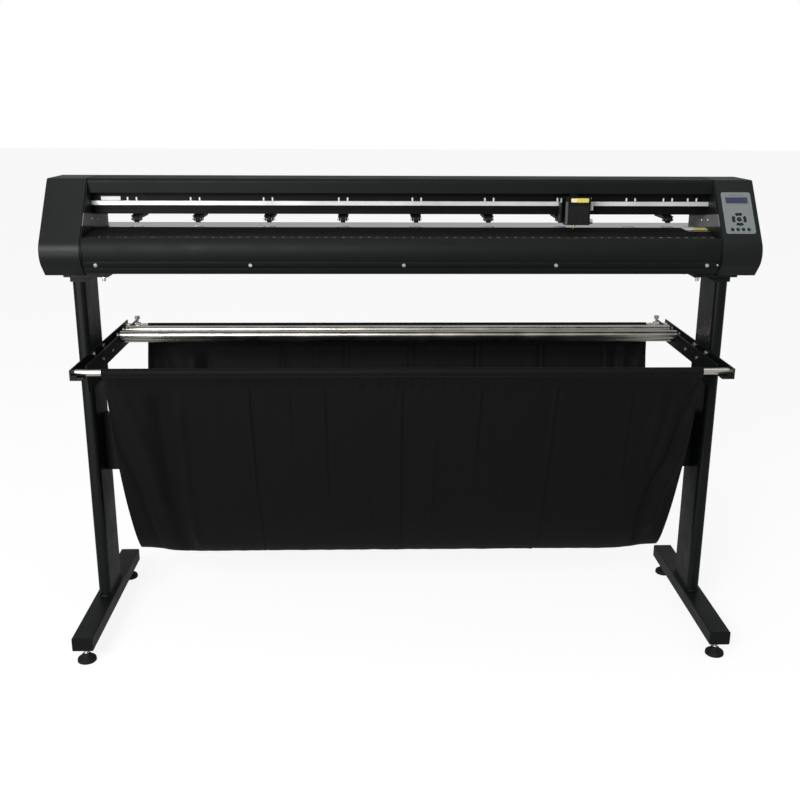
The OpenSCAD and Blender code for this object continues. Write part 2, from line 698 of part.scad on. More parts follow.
// Overlay plate in the cap's recess, with openings for the keys
module control_panel() color([0.55, 0.57, 0.6]) on_slope() difference() {
    translate([0, 0, -panel_sink]) linear_extrude(panel_t) round_rect(panel_w, panel_l, 5);
    translate([0, nav_up, -3]) linear_extrude(6) {
        for (m = [0, 90, 180, 270]) nav_sector(nav_r0 - key_gap, nav_r1 + key_gap, m, nav_span + 3);
        circle(r = centre_key_r + key_gap);
    }
    for (x = fkey_x) translate([x, fkey_up, -3]) cylinder(h = 6, r = fkey_r + key_gap);
    translate([0, display_up, panel_t - panel_sink]) cube([display_w, display_l, 2], center = true);
}

module display_window() color([0.1, 0.12, 0.35]) on_slope()
    translate([-display_w / 2, display_up - display_l / 2, panel_t - panel_sink - 1])
        cube([display_w, display_l, 1.2]);

module nav_key(mid) color([0.1, 0.11, 0.13]) on_slope() translate([0, nav_up, key_bottom])
    linear_extrude(key_top - key_bottom) nav_sector(nav_r0, nav_r1, mid, nav_span);
module key_right() nav_key(0);
module key_up() nav_key(90);
module key_left() nav_key(180);
module key_down() nav_key(270);
module key_centre() color([0.1, 0.11, 0.13]) on_slope()
    translate([0, nav_up, key_bottom]) cylinder(h = key_top - key_bottom, r = centre_key_r);
module function_key(i) color([0.1, 0.11, 0.13]) on_slope()
    translate([fkey_x[i], fkey_up, key_bottom]) cylinder(h = key_top - key_bottom, r = fkey_r);

module power_rocker() color([0.5, 0.08, 0.06]) translate([inlet_x, rocker_y, rocker_z]) {
    rotate([0, 90, 0]) linear_extrude(rocker_w, center = true)
        polygon([[-rocker_h / 2, 3], [0, 0.5], [rocker_h / 2, 1],
            [rocker_h / 2 - 1, -4], [1 - rocker_h / 2, -4]]);
    rod_x(-rocker_w / 2 - 0.6, rocker_w / 2 + 0.6, 0, 0, 1.2);
}

// Main board with its parts, power supply and mains inlet
board_x = half_bay + 14;
board_parts = [[-66, 20, 22, 14, 6], [-30, 30, 16, 24, 9], [-64, 56, 30, 18, 5], [-24, 64, 14, 12, 12]];
module electronics() color([0.1, 0.3, 0.16]) {
    box(board_x, board_x + 1.6, -80, 0, body_z + 8, body_z + 92);
    for (c = board_parts) box(board_x + 1.6, board_x + 1.6 + c[4], c[0], c[0] + c[2],
        body_z + c[1], body_z + c[1] + c[3]);
    box(500, 680, 64, 118, pan_z + pan_t, pan_z + 45);
    box(inlet_x - inlet_w / 2, inlet_x + inlet_w / 2, head_rear - 24, head_rear + 0.5,
        inlet_z - inlet_h / 2, inlet_z + inlet_h / 2);
}

// ---------- fasteners ----------

module fasteners() color([0.7, 0.7, 0.7]) {
    // Apron screws
    for (x = apron_screw_x) on_apron(x) {
        cylinder(h = 3, r = 4.2);
        translate([0, 0, -22]) cylinder(h = 24, r = 2);
    }
    both_sides() {
        // Saddle bolts with their nuts
        for (y = saddle_bolt_y) translate([saddle_bolt_x, y, 0]) {
            rod_z(0, 0, body_z - saddle_t - 14, pan_z + pan_t + 9, m8_r);
            for (z = [body_z - saddle_t - 6, pan_z + pan_t])
                translate([0, 0, z]) cylinder(h = 6, r = 7.5, $fn = 6);
        }
        // Arm bolts into the legs, and screws on the inner walls
        for (y = arm_bolt_y) {
            rod_x(arm_x1 - arm_t - 4, arm_x1 - arm_t, y, arm_bolt_z, 5.5);
            rod_x(arm_x1 - arm_t, arm_x1 + tube_t + 4, y, arm_bolt_z, m6_r);
            rod_x(arm_x1 - arm_w - 2.5, arm_x1 - arm_w, y - 8, arm_z0 + 4, 4);
        }
        // Collar and thumb screw at each end of the rear bar
        difference() {
            rod_x(arm_x1 - arm_w - 14, arm_x1 - arm_w, rear_bar_y, bar_z, 12);
            rod_x(arm_x1 - arm_w - 15, arm_x1 - arm_w + 1, rear_bar_y, bar_z, bar_d / 2);
        }
        rod_z(arm_x1 - arm_w - 7, rear_bar_y, bar_z + 11, bar_z + 22, m6_r);
        rod_z(arm_x1 - arm_w - 7, rear_bar_y, bar_z + 20, bar_z + 28, 7);
        // Stretcher screws
        for (z = stretcher_screw_z) {
            rod_x(arm_x1 - tube_t - 3, arm_x1 - tube_t, stretcher_screw_y, z, 5.5);
            rod_x(arm_x1 - tube_t, arm_x1 + tube_t + 4, stretcher_screw_y, z, m6_r);
        }
    }
}

// ---------- output ----------

foot_beams();
legs();
cross_stretcher();
basket_arms();
basket_bars();
media_basket();
chassis_pan();
platen();
front_apron();
side_plates();
left_end_cap();
right_end_cap();
top_cover();
rail_beam();
guide_rail();
control_panel();
display_window();
stepper_motors();
electronics();
drive_belt();
fasteners();
foot_plugs();
bearings();
levelling_feet();
lift_shaft();
for (i = [0:pinch_count - 1]) {
    pinch_arm(i);
    pinch_wheel(i);
}
key_up();
key_down();
key_left();
key_right();
key_centre();
for (i = [0:3]) function_key(i);
power_rocker();
carriage_block();
carriage_cover();
blade_holder();
grit_shaft();
feed_pinion();
drive_pulley();
idler_pulley();
support_roller_front();
support_roller_rear();
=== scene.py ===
import json
import math

import bmesh
import bpy
from mathutils import Matrix, Vector, noise


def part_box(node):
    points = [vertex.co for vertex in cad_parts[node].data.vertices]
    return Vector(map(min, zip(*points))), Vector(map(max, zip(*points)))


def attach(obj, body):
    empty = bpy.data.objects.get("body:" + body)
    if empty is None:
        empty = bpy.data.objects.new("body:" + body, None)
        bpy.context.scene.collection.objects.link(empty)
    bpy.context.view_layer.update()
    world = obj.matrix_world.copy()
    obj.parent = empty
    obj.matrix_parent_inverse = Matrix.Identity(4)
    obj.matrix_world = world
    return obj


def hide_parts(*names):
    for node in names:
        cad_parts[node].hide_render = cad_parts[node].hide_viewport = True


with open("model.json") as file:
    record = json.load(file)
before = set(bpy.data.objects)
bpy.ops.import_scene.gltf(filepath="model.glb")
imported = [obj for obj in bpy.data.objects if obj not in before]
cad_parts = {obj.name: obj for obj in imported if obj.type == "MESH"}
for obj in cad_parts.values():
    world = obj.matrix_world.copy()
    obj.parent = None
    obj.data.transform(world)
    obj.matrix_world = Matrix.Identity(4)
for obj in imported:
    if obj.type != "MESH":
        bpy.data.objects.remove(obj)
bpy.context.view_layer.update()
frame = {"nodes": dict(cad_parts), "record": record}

MM = 0.001


# ---------- camera ----------

def add_camera():
    """A camera in front of the machine and above it, looking slightly down."""
    place = Vector((-0.0765, -2.455, 1.290))
    yaw, pitch, roll = math.radians(1.7), math.radians(16.25), math.radians(0.28)
    ahead = Vector((math.sin(yaw) * math.cos(pitch), math.cos(yaw) * math.cos(pitch), -math.sin(pitch)))
    level = Vector((math.cos(yaw), -math.sin(yaw), 0))
    above = level.cross(ahead)
    right = level * math.cos(roll) + above * math.sin(roll)
    up = above * math.cos(roll) - level * math.sin(roll)
    data = bpy.data.cameras.new("camera")
    data.sensor_width = 36
    data.lens = 45.36
    camera = bpy.data.objects.new("camera", data)
    camera.matrix_world = Matrix.Translation(place) @ Matrix((right, up, -ahead)).transposed().to_4x4()
    bpy.context.scene.collection.objects.link(camera)
    bpy.context.scene.camera = camera


add_camera()


# ---------- sizes from the frame, in millimetres ----------

def low(node):
    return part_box(node)[0] / MM


def high(node):
    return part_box(node)[1] / MM


BODY_Z = low("right_end_cap").z
HALF_BAY = low("right_end_cap").x
HEAD_END = high("right_end_cap").x
HEAD_REAR = high("right_end_cap").y
SIDE_IN = high("top_cover").x
PLATEN_Z = high("platen").z
PLATEN_FRONT = low("platen").y
BEAM_FRONT = low("rail_beam").y
BEAM_LOW = low("rail_beam").z
RAIL_LOW, RAIL_HIGH = low("guide_rail"), high("guide_rail")
BAR_R = 8
FRONT_BAR_Y = low("basket_bars").y + BAR_R
REAR_BAR_Y = high("basket_bars").y - BAR_R
BAR_Z = high("basket_bars").z - BAR_R
BASKET_HALF = high("media_basket").x
LEG_X, LEG_FRONT, LEG_REAR = 765, -82, 44
FOOT_X = (low("levelling_feet").x + 22.5, high("levelling_feet").x - 22.5)
FOOT_Y = (low("levelling_feet").y + 22.5, high("levelling_feet").y - 22.5)


# ---------- mesh building ----------

def facing(x, y, z, normal):
    """Matrix that puts local +Z along a direction, at a point."""
    return Matrix.Translation((x, y, z)) @ Vector(normal).to_track_quat("Z", "Y").to_matrix().to_4x4()


# Local X, Y, Z become world Y, Z, X: for outlines given in Y and Z
ALONG_X = Matrix(((0, 0, 1, 0), (1, 0, 0, 0), (0, 1, 0, 0), (0, 0, 0, 1)))
# Local X, Y, Z become world X, Z, -Y: for outlines seen from the front
UPRIGHT = Matrix(((1, 0, 0, 0), (0, 0, -1, 0), (0, 1, 0, 0), (0, 0, 0, 1)))


def arc(cx, cy, r, a0, a1, steps=8):
    angles = [math.radians(a0 + (a1 - a0) * i / steps) for i in range(steps + 1)]
    return [(cx + r * math.cos(a), cy + r * math.sin(a)) for a in angles]


def rounded(w, h, r, steps=5):
    """Outline of a rectangle with round corners, centred on 0, 0."""
    x, y = w / 2 - r, h / 2 - r
    corners = ((x, y, 0), (-x, y, 90), (-x, -y, 180), (x, -y, 270))
    return [p for cx, cy, a in corners for p in arc(cx, cy, r, a, a + 90, steps)]


class Shape:
    """Gathers closed solids, in millimetres, and makes one piece of them."""

    def __init__(self):
        self.verts = []
        self.faces = []

    def add(self, verts, faces, place=None):
        start = len(self.verts)
        place = place or Matrix.Identity(4)
        self.verts += [place @ Vector(v) for v in verts]
        self.faces += [[start + i for i in f] for f in faces]
        return self

    def prism(self, outline, z0, z1, place=None):
        """Outline in local X and Y, extruded from z0 to z1."""
        n = len(outline)
        verts = [(x, y, z) for z in (z0, z1) for x, y in outline]
        sides = [(i, (i + 1) % n, n + (i + 1) % n, n + i) for i in range(n)]
        return self.add(verts, [list(range(n))[::-1], list(range(n, 2 * n))] + sides, place)

    def box(self, lo, hi, place=None):
        (x0, y0, z0), (x1, y1, z1) = lo, hi
        return self.prism([(x0, y0), (x1, y0), (x1, y1), (x0, y1)], z0, z1, place)

    def skin(self, rings, place=None, loop=True):
        """Skin through (outline, height) rings: the last one joins the first, or both ends are closed."""
        n, count = len(rings[0][0]), len(rings)
        verts = [(x, y, z) for outline, z in rings for x, y in outline]
        faces = [(k * n + i, k * n + (i + 1) % n, (k + 1) % count * n + (i + 1) % n, (k + 1) % count * n + i)
                 for k in range(count if loop else count - 1) for i in range(n)]
        if not loop:
            faces += [list(range(n))[::-1], list(range((count - 1) * n, count * n))]
        return self.add(verts, faces, place)

    def turn(self, profile, place=None, steps=32):
        """Profile of (radius, height) pairs turned about local Z, closed at both ends."""
        verts, rings = [], []
        for r, z in profile:
            count = 1 if r < 1e-6 else steps
            rings.append(range(len(verts), len(verts) + count))
            for i in range(count):
                a = 2 * math.pi * i / steps
                verts.append((r * math.cos(a), r * math.sin(a), z))
        faces = []
        for a, b in zip(rings, rings[1:]):
            for i in range(steps):
                j = (i + 1) % steps
                corner = [a[i % len(a)], a[j % len(a)], b[j % len(b)], b[i % len(b)]]
                faces.append(list(dict.fromkeys(corner)))
        if len(rings[0]) > 1:
            faces.append(list(rings[0])[::-1])
        if len(rings[-1]) > 1:
            faces.append(list(rings[-1]))
        return self.add(verts, [f for f in faces if len(f) > 2], place)

    def tube(self, path, radius, sides=8):
        """Round wire along a path of points."""
        verts, faces = [], []
        points = [Vector(p) for p in path]
        side = None
        for i, p in enumerate(points):
            ahead = (points[min(i + 1, len(points) - 1)] - points[max(i - 1, 0)]).normalized()
            side = ahead.orthogonal() if side is None else side - ahead * side.dot(ahead)
            side = side.normalized()
            other = ahead.cross(side)
            for k in range(sides):
                a = 2 * math.pi * k / sides
                verts.append(p + radius * (side * math.cos(a) + other * math.sin(a)))
        for i in range(len(points) - 1):
            for k in range(sides):
                k2 = (k + 1) % sides
                faces.append((i * sides + k, i * sides + k2, (i + 1) * sides + k2, (i + 1) * sides + k))
        faces.append(list(range(sides))[::-1])
        faces.append(list(range((len(points) - 1) * sides, len(points) * sides)))
        return self.add(verts, faces)

    def piece(self, name, mat, body="root", slot=None, bevel=0, segments=2, angle=35):
        mesh = bpy.data.meshes.new(name)
        mesh.from_pydata([v * MM for v in self.verts], [], self.faces)
        made = bmesh.new()
        made.from_mesh(mesh)
        bmesh.ops.recalc_face_normals(made, faces=made.faces)
        if bevel:
            sharp = [e for e in made.edges if e.is_manifold and e.calc_face_angle(0) > math.radians(angle)]
            bmesh.ops.bevel(made, geom=sharp, offset=bevel * MM, segments=segments, profile=0.5,
                            affect="EDGES", clamp_overlap=True)
        return finish_mesh(made, name, mat, body, angle)


def finish_mesh(made, name, mat, body, angle=35):
    """Turns a bmesh into a smooth-shaded piece that rides on a body."""
    mesh = bpy.data.meshes.get(name) or bpy.data.meshes.new(name)
    made.to_mesh(mesh)
    made.free()
    for polygon in mesh.polygons:
        polygon.use_smooth = True
    mesh.set_sharp_from_angle(angle=math.radians(angle))
    mesh.materials.append(mat)
    piece = bpy.data.objects.new(name, mesh)
    bpy.context.scene.collection.objects.link(piece)
    weighted = piece.modifiers.new("normals", "WEIGHTED_NORMAL")
    weighted.keep_sharp = True
    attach(piece, body)
    return piece


def body_of(node):
    return next(b for b, nodes in frame["record"]["behaviour"]["bodies"].items() if node in nodes)


def moulded(node, mat, rims=(), bevel=0.5, angle=30):
    """A finer copy of a CAD node: chosen rims get a wide round, and every other sharp edge a small one."""
    made = bmesh.new()
    made.from_mesh(frame["nodes"][node].data)
    bmesh.ops.remove_doubles(made, verts=made.verts, dist=2e-5)
    bmesh.ops.dissolve_limit(made, angle_limit=math.radians(0.5), verts=made.verts, edges=made.edges)

    def sharp():
        return [e for e in made.edges if e.is_manifold and e.calc_face_angle(0) > math.radians(angle)]

    for chosen, width in rims:
        edges = [e for e in sharp() if all(chosen(v.co / MM) for v in e.verts)]
        bmesh.ops.bevel(made, geom=edges, offset=width * MM, segments=4, profile=0.5,
                        affect="EDGES", clamp_overlap=True)
    if bevel:
        bmesh.ops.bevel(made, geom=sharp(), offset=bevel * MM, segments=2, profile=0.5,
                        affect="EDGES", clamp_overlap=True)
    piece = finish_mesh(made, node + "_shell", mat, body_of(node))
    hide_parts(node)
    return piece


def dress(node, mat, bevel=0.4):
    """Gives a CAD node its material and slightly rounded edges."""
    piece = frame["nodes"][node]
    for place in piece.material_slots:
        place.material = mat
    for polygon in piece.data.polygons:
        polygon.use_smooth = True
    weld = piece.modifiers.new("weld", "WELD")
    weld.merge_threshold = 2e-5
    if bevel:
        edge = piece.modifiers.new("edges", "BEVEL")
        edge.width = bevel * MM
        edge.segments = 2
        edge.limit_method = "ANGLE"
        edge.angle_limit = math.radians(40)
    weighted = piece.modifiers.new("normals", "WEIGHTED_NORMAL")
    weighted.keep_sharp = True


# ---------- materials ----------

def material(name, color, rough, metal=0.0, grain=(900, 0.1), mottle=0.12, rough_spread=0.06,
             stretch=(1, 1, 1), coat=0.0, sheen=0.0, specular=0.5, wear=None):
    """Principled surface: noise shifts its colour and gloss a little, and a fine grain gives it its bump.

    grain is (cycles per metre, depth in tenths of a millimetre), stretch scales the grain's directions,
    and wear is the colour that shows along sharp edges.
    """
    mat = bpy.data.materials.new(name)
    mat.use_nodes = True
    nodes, links = mat.node_tree.nodes, mat.node_tree.links
    shader = nodes["Principled BSDF"]
    shader.inputs["Metallic"].default_value = metal
    shader.inputs["Coat Weight"].default_value = coat
    shader.inputs["Coat Roughness"].default_value = 0.15
    shader.inputs["Sheen Weight"].default_value = sheen
    shader.inputs["Specular IOR Level"].default_value = specular
    place = nodes.new("ShaderNodeTexCoord")

    cloud = nodes.new("ShaderNodeTexNoise")
    cloud.inputs["Scale"].default_value = 14
    cloud.inputs["Detail"].default_value = 6
    links.new(place.outputs["Object"], cloud.inputs["Vector"])
    tint = nodes.new("ShaderNodeValToRGB")
    tint.color_ramp.elements[0].position = 0.3
    tint.color_ramp.elements[1].position = 0.7
    tint.color_ramp.elements[0].color = [c * (1 - mottle) for c in color] + [1]
    tint.color_ramp.elements[1].color = [min(1, c * (1 + mottle)) for c in color] + [1]
    links.new(cloud.outputs["Fac"], tint.inputs["Fac"])
    base = tint.outputs["Color"]
    if wear:
        geometry = nodes.new("ShaderNodeNewGeometry")
        edge = nodes.new("ShaderNodeMapRange")
        edge.inputs["From Min"].default_value = 0.53
        edge.inputs["From Max"].default_value = 0.6
        edge.inputs["To Max"].default_value = 0.5
        links.new(geometry.outputs["Pointiness"], edge.inputs["Value"])
        mix = nodes.new("ShaderNodeMix")
        mix.data_type = "RGBA"
        mix.inputs["B"].default_value = list(wear) + [1]
        links.new(edge.outputs["Result"], mix.inputs["Factor"])
        links.new(base, mix.inputs["A"])
        base = mix.outputs["Result"]
    links.new(base, shader.inputs["Base Color"])

    gloss = nodes.new("ShaderNodeMapRange")
    gloss.inputs["From Min"].default_value = 0.3
    gloss.inputs["From Max"].default_value = 0.7
    gloss.inputs["To Min"].default_value = max(0.02, rough - rough_spread)
    gloss.inputs["To Max"].default_value = min(1, rough + rough_spread)
    links.new(cloud.outputs["Fac"], gloss.inputs["Value"])
    links.new(gloss.outputs["Result"], shader.inputs["Roughness"])

    scale, depth = grain
    mapping = nodes.new("ShaderNodeMapping")
    mapping.inputs["Scale"].default_value = stretch
    links.new(place.outputs["Object"], mapping.inputs["Vector"])
    fine = nodes.new("ShaderNodeTexNoise")
    fine.inputs["Scale"].default_value = scale
    fine.inputs["Detail"].default_value = 3
    links.new(mapping.outputs["Vector"], fine.inputs["Vector"])
    bump = nodes.new("ShaderNodeBump")
    bump.inputs["Strength"].default_value = 1
    bump.inputs["Distance"].default_value = depth * 1e-4
    links.new(fine.outputs["Fac"], bump.inputs["Height"])
    links.new(bump.outputs["Normal"], shader.inputs["Normal"])
    return mat


def woven(name, color, pitch=0.0011):
    """Plain-weave cloth, drawn in the cloth's own flat coordinates, stored on its points."""
    mat = bpy.data.materials.new(name)
    mat.use_nodes = True
    nodes, links = mat.node_tree.nodes, mat.node_tree.links
    shader = nodes["Principled BSDF"]
    shader.inputs["Roughness"].default_value = 0.7
    shader.inputs["Sheen Weight"].default_value = 0.03
    shader.inputs["Sheen Roughness"].default_value = 0.35
    shader.inputs["Specular IOR Level"].default_value = 0.18
    flat = nodes.new("ShaderNodeAttribute")
    flat.attribute_name = "cloth"
    yarns = []
    for axis in ("X", "Y"):
        wave = nodes.new("ShaderNodeTexWave")
        wave.bands_direction = axis
        wave.inputs["Scale"].default_value = math.pi / 10 / pitch
        wave.inputs["Distortion"].default_value = 1.5
        wave.inputs["Detail"].default_value = 1
        wave.inputs["Detail Scale"].default_value = 40
        links.new(flat.outputs["Vector"], wave.inputs["Vector"])
        yarns.append(wave.outputs["Fac"])
    weave = nodes.new("ShaderNodeMath")
    weave.operation = "MULTIPLY"
    links.new(yarns[0], weave.inputs[0])
    links.new(yarns[1], weave.inputs[1])
    cloud = nodes.new("ShaderNodeTexNoise")
    cloud.inputs["Scale"].default_value = 9
    cloud.inputs["Detail"].default_value = 8
    links.new(flat.outputs["Vector"], cloud.inputs["Vector"])
    blend = nodes.new("ShaderNodeMath")
    blend.operation = "MULTIPLY"
    links.new(weave.outputs["Value"], blend.inputs[0])
    links.new(cloud.outputs["Fac"], blend.inputs[1])
    tint = nodes.new("ShaderNodeValToRGB")
    tint.color_ramp.elements[0].color = [c * 0.6 for c in color] + [1]
    tint.color_ramp.elements[1].position = 0.6
    tint.color_ramp.elements[1].color = [c * 1.5 for c in color] + [1]
    links.new(blend.outputs["Value"], tint.inputs["Fac"])
    links.new(tint.outputs["Color"], shader.inputs["Base Color"])
    bump = nodes.new("ShaderNodeBump")
    bump.inputs["Strength"].default_value = 0.5
    bump.inputs["Distance"].default_value = 0.0002
    links.new(weave.outputs["Value"], bump.inputs["Height"])
    links.new(bump.outputs["Normal"], shader.inputs["Normal"])
    return mat


COAT = material("powder_coat", (0.0036, 0.0046, 0.0046), 0.44, grain=(1400, 0.12), wear=(0.016, 0.017, 0.017),
                specular=0.22)
COVER = material("cover_paint", (0.0042, 0.0053, 0.0048), 0.5, grain=(2200, 0.25), wear=(0.014, 0.016, 0.015),
                 specular=0.15)
CAP = material("cap_moulding", (0.0066, 0.008, 0.0082), 0.44, grain=(2600, 0.3), wear=(0.02, 0.023, 0.024),
               specular=0.24)
GREY = material("wall_paint", (0.006, 0.007, 0.007), 0.5, grain=(1500, 0.12), specular=0.2)
ANODISED = material("black_anodised", (0.0024, 0.0026, 0.003), 0.46, grain=(1800, 0.12), stretch=(0.02, 1, 1),
                    specular=0.13)
SATIN = material("satin_block", (0.012, 0.012, 0.014), 0.42, grain=(1800, 0.12), specular=0.25)
SMOKE = material("smoke_strip", (0.09, 0.09, 0.1), 0.35, grain=(1800, 0.08))
PLATEN = material("platen_paint", (0.0055, 0.0058, 0.0052), 0.5, grain=(900, 0.5), specular=0.2)
STEEL = material("ground_steel", (0.85, 0.85, 0.87), 0.34, metal=0.4, grain=(2500, 0.08),
                 stretch=(0.02, 1, 1))
CHROME = material("chrome_bar", (0.7, 0.67, 0.62), 0.3, metal=1, grain=(2500, 0.03), stretch=(0.02, 1, 1))
PANEL = material("panel_overlay", (0.2, 0.22, 0.222), 0.4, grain=(2500, 0.08), mottle=0.04, specular=0.25)
LENS = material("display_lens", (0.026, 0.03, 0.075), 0.25, grain=(60, 0.02), coat=0.1, specular=0.3)
LIT = material("display_lit", (0.045, 0.052, 0.12), 0.3, grain=(60, 0.02), specular=0.3)
KEY = material("key_rubber", (0.006, 0.007, 0.009), 0.5, grain=(3000, 0.15), specular=0.22)
MARK = material("key_mark", (0.05, 0.055, 0.055), 0.5, mottle=0.05, specular=0.25)
MOTOR = material("motor_paint", (0.012, 0.012, 0.013), 0.45, specular=0.3)
BOARD = material("board_green", (0.02, 0.12, 0.05), 0.3, grain=(700, 0.3))
RUBBER = material("belt_rubber", (0.007, 0.0075, 0.008), 0.7, grain=(1600, 0.4), specular=0.25)
ZINC = material("zinc_plate", (0.72, 0.72, 0.7), 0.3, metal=0.8, grain=(1400, 0.1))
PLASTIC = material("black_plastic", (0.0042, 0.0046, 0.005), 0.45, grain=(2400, 0.2), specular=0.2)
BRASS = material("turned_brass", (0.72, 0.52, 0.24), 0.25, metal=1, grain=(1800, 0.08))
BRONZE = material("bush_bronze", (0.55, 0.42, 0.24), 0.4, metal=1)
TYRE = material("wheel_rubber", (0.008, 0.008, 0.008), 0.6, grain=(2600, 0.3), specular=0.25)
ALUMINIUM = material("machined_aluminium", (0.74, 0.74, 0.73), 0.28, metal=0.8, grain=(2200, 0.1),
                     stretch=(1, 1, 0.05))
RED = material("rocker_red", (0.4, 0.02, 0.015), 0.25, coat=0.4)
WHITE = material("white_print", (0.85, 0.85, 0.83), 0.5, mottle=0.03)
RULER = material("ruler_print", (0.3, 0.31, 0.28), 0.5, mottle=0.25)
YELLOW = material("yellow_label", (0.8, 0.66, 0.12), 0.45, mottle=0.05)
CREAM = material("cream_plastic", (0.55, 0.54, 0.44), 0.4)
CLOTH = woven("black_cloth", (0.0024, 0.0026, 0.0025))
THREAD = material("thread", (0.009, 0.009, 0.009), 0.6, sheen=0.1, specular=0.25)


def zone(mat, across, edge, color, rough, metal):
    """Gives a material a second look beyond a plane: across is its normal, edge its place in millimetres."""
    nodes, links = mat.node_tree.nodes, mat.node_tree.links
    shader = nodes["Principled BSDF"]
    place = nodes.new("ShaderNodeTexCoord")
    dot = nodes.new("ShaderNodeVectorMath")
    dot.operation = "DOT_PRODUCT"
    dot.inputs[1].default_value = across
    links.new(place.outputs["Object"], dot.inputs[0])
    step = nodes.new("ShaderNodeMapRange")
    step.inputs["From Min"].default_value = (edge - 0.5) * MM
    step.inputs["From Max"].default_value = (edge + 0.5) * MM
    links.new(dot.outputs["Value"], step.inputs["Value"])
    for name, value in (("Base Color", list(color) + [1]), ("Roughness", rough), ("Metallic", metal)):
        target = shader.inputs[name]
        mix = nodes.new("ShaderNodeMix")
        if name == "Base Color":
            mix.data_type = "RGBA"
        if target.links:
            links.new(target.links[0].from_socket, mix.inputs["A"])
        else:
            mix.inputs["A"].default_value = target.default_value
        mix.inputs["B"].default_value = value
        links.new(step.outputs["Result"], mix.inputs["Factor"])
        links.new(mix.outputs["Result"], target)


# The platen's flat part is polished, and the side plates are a lighter grey between the platen and the beam
zone(PLATEN, (0, 1, 0), -8, (0.9, 0.91, 0.92), 0.1, 1.0)
zone(GREY, (0, 0.12, 1), PLATEN_Z + 1, (0.15, 0.15, 0.155), 0.45, 0.0)
zone(GREY, (0, 0.12, 1), BEAM_LOW - 1, (0.006, 0.007, 0.007), 0.5, 0.0)


# ---------- CAD nodes that keep their shape ----------

KEPT = {
    "foot_beams": (COAT, 0.6), "foot_plugs": (PLASTIC, 0.5), "legs": (COAT, 0.5),
    "cross_stretcher": (COAT, 0.6), "basket_arms": (COAT, 0.5), "basket_bars": (CHROME, 0.8),
    "chassis_pan": (COAT, 0.4), "platen": (PLATEN, 0.4), "side_plates": (GREY, 0.3),
    "top_cover": (COVER, 0.5), "rail_beam": (ANODISED, 0.5), "guide_rail": (STEEL, 0.4),
    "control_panel": (PANEL, 0.25), "display_window": (LENS, 0.2), "stepper_motors": (MOTOR, 0.6),
    "electronics": (BOARD, 0.2), "drive_belt": (RUBBER, 0), "fasteners": (ZINC, 0.4),
    "bearings": (BRONZE, 0.4), "lift_shaft": (ZINC, 0.5),
    "power_rocker": (RED, 0.4), "carriage_block": (SATIN, 0.4), "carriage_cover": (PLASTIC, 0.5),
    "blade_holder": (BRASS, 0.3), "grit_shaft": (STEEL, 0), "feed_pinion": (BRASS, 0),
    "drive_pulley": (ALUMINIUM, 0.2), "idler_pulley": (ALUMINIUM, 0.2),
    "support_roller_front": (CHROME, 0.8), "support_roller_rear": (CHROME, 0.8),
}
for node, (mat, edge) in KEPT.items():
    dress(node, mat, edge)
for i in range(1, 9):
    dress(f"pinch_arm_{i}", PLASTIC, 0.4)
    dress(f"pinch_wheel_{i}", TYRE, 0.4)
for node in frame["nodes"]:
    if node.startswith("key_"):
        dress(node, KEY, 0.3)

for node in ("left_end_cap", "right_end_cap"):
    moulded(node, CAP, bevel=0.35, rims=[(lambda p: abs(p.x) > HEAD_END - 0.1, 1.8)])


# ---------- hanging cloth ----------

def basket():
    """The cloth's path from the flap inside the front bar, over that bar, down, up and over the rear bar."""
    half = (REAR_BAR_Y - FRONT_BAR_Y) / 2
    middle = (REAR_BAR_Y + FRONT_BAR_Y) / 2
    drop = BAR_Z - low("media_basket").z - 2.5
    power, soft = 0.8, 0.01

    def hang(t):
        level = soft ** power
        return ((t * t + soft) ** power - level) / ((1 + soft) ** power - level)

    count = 400
    line = [Vector((middle + half * t, BAR_Z - drop * (1 - hang(t)))) for t in
            [-1 + 2 * i / count for i in range(count + 1)]]
    ahead = [(line[min(i + 1, count)] - line[max(i - 1, 0)]).normalized() for i in range(count + 1)]
    along = [0.0]
    for a, b in zip(line, line[1:]):
        along.append(along[-1] + (b - a).length)
    total = along[-1]
    wrap = BAR_R + 0.9
    fade = 40

    def offset(s):
        """How far the outer sheet stands outside the CAD's middle line, near the bars."""
        near = min(s, total - s)
        k = min(1, near / fade)
        return wrap * (1 - k * k * (3 - 2 * k))

    path = []       # (point, distance from the front bar, part of the wrap)

    def out(d):
        """Outwards, to the right of the way along."""
        return Vector((d.y, -d.x))

    first, last = ahead[0], ahead[-1]
    flap = 20
    for j in range(6):
        s = flap * (1 - j / 6)
        k = s / flap
        inner = wrap * (1 - k) - (offset(s) - 1.2) * k
        path.append((line[0] + first * s - out(first) * inner, -60 + (flap - s)))
    a0 = math.atan2(-out(first).y, -out(first).x)
    for j in range(17):
        a = a0 + math.pi * j / 16
        path.append((line[0] + wrap * Vector((math.cos(a), math.sin(a))), -40 + 40 * j / 17))
    step = 6.0
    rows = int(total / step)
    for j in range(1, rows):
        s = total * j / rows
        i = next(n for n in range(1, count + 1) if along[n] >= s)
        k = (s - along[i - 1]) / (along[i] - along[i - 1])
        point = line[i - 1].lerp(line[i], k)
        d = ahead[i - 1].lerp(ahead[i], k).normalized()
        path.append((point + out(d) * offset(s), s))
    a1 = math.atan2(out(last).y, out(last).x)
    for j in range(17):
        a = a1 + math.pi * j / 16
        path.append((line[-1] + wrap * Vector((math.cos(a), math.sin(a))), total + 40 * (j + 1) / 17))
    for j in range(1, 7):
        s = flap * j / 6
        k = s / flap
        inner = wrap * (1 - k) - (offset(s) - 1.2) * k
        path.append((line[-1] - last * s - out(last) * inner, total + 40 + s))
    return path, total


def smooth(x, a, b):
    k = max(0.0, min(1.0, (x - a) / (b - a)))
    return k * k * (3 - 2 * k)


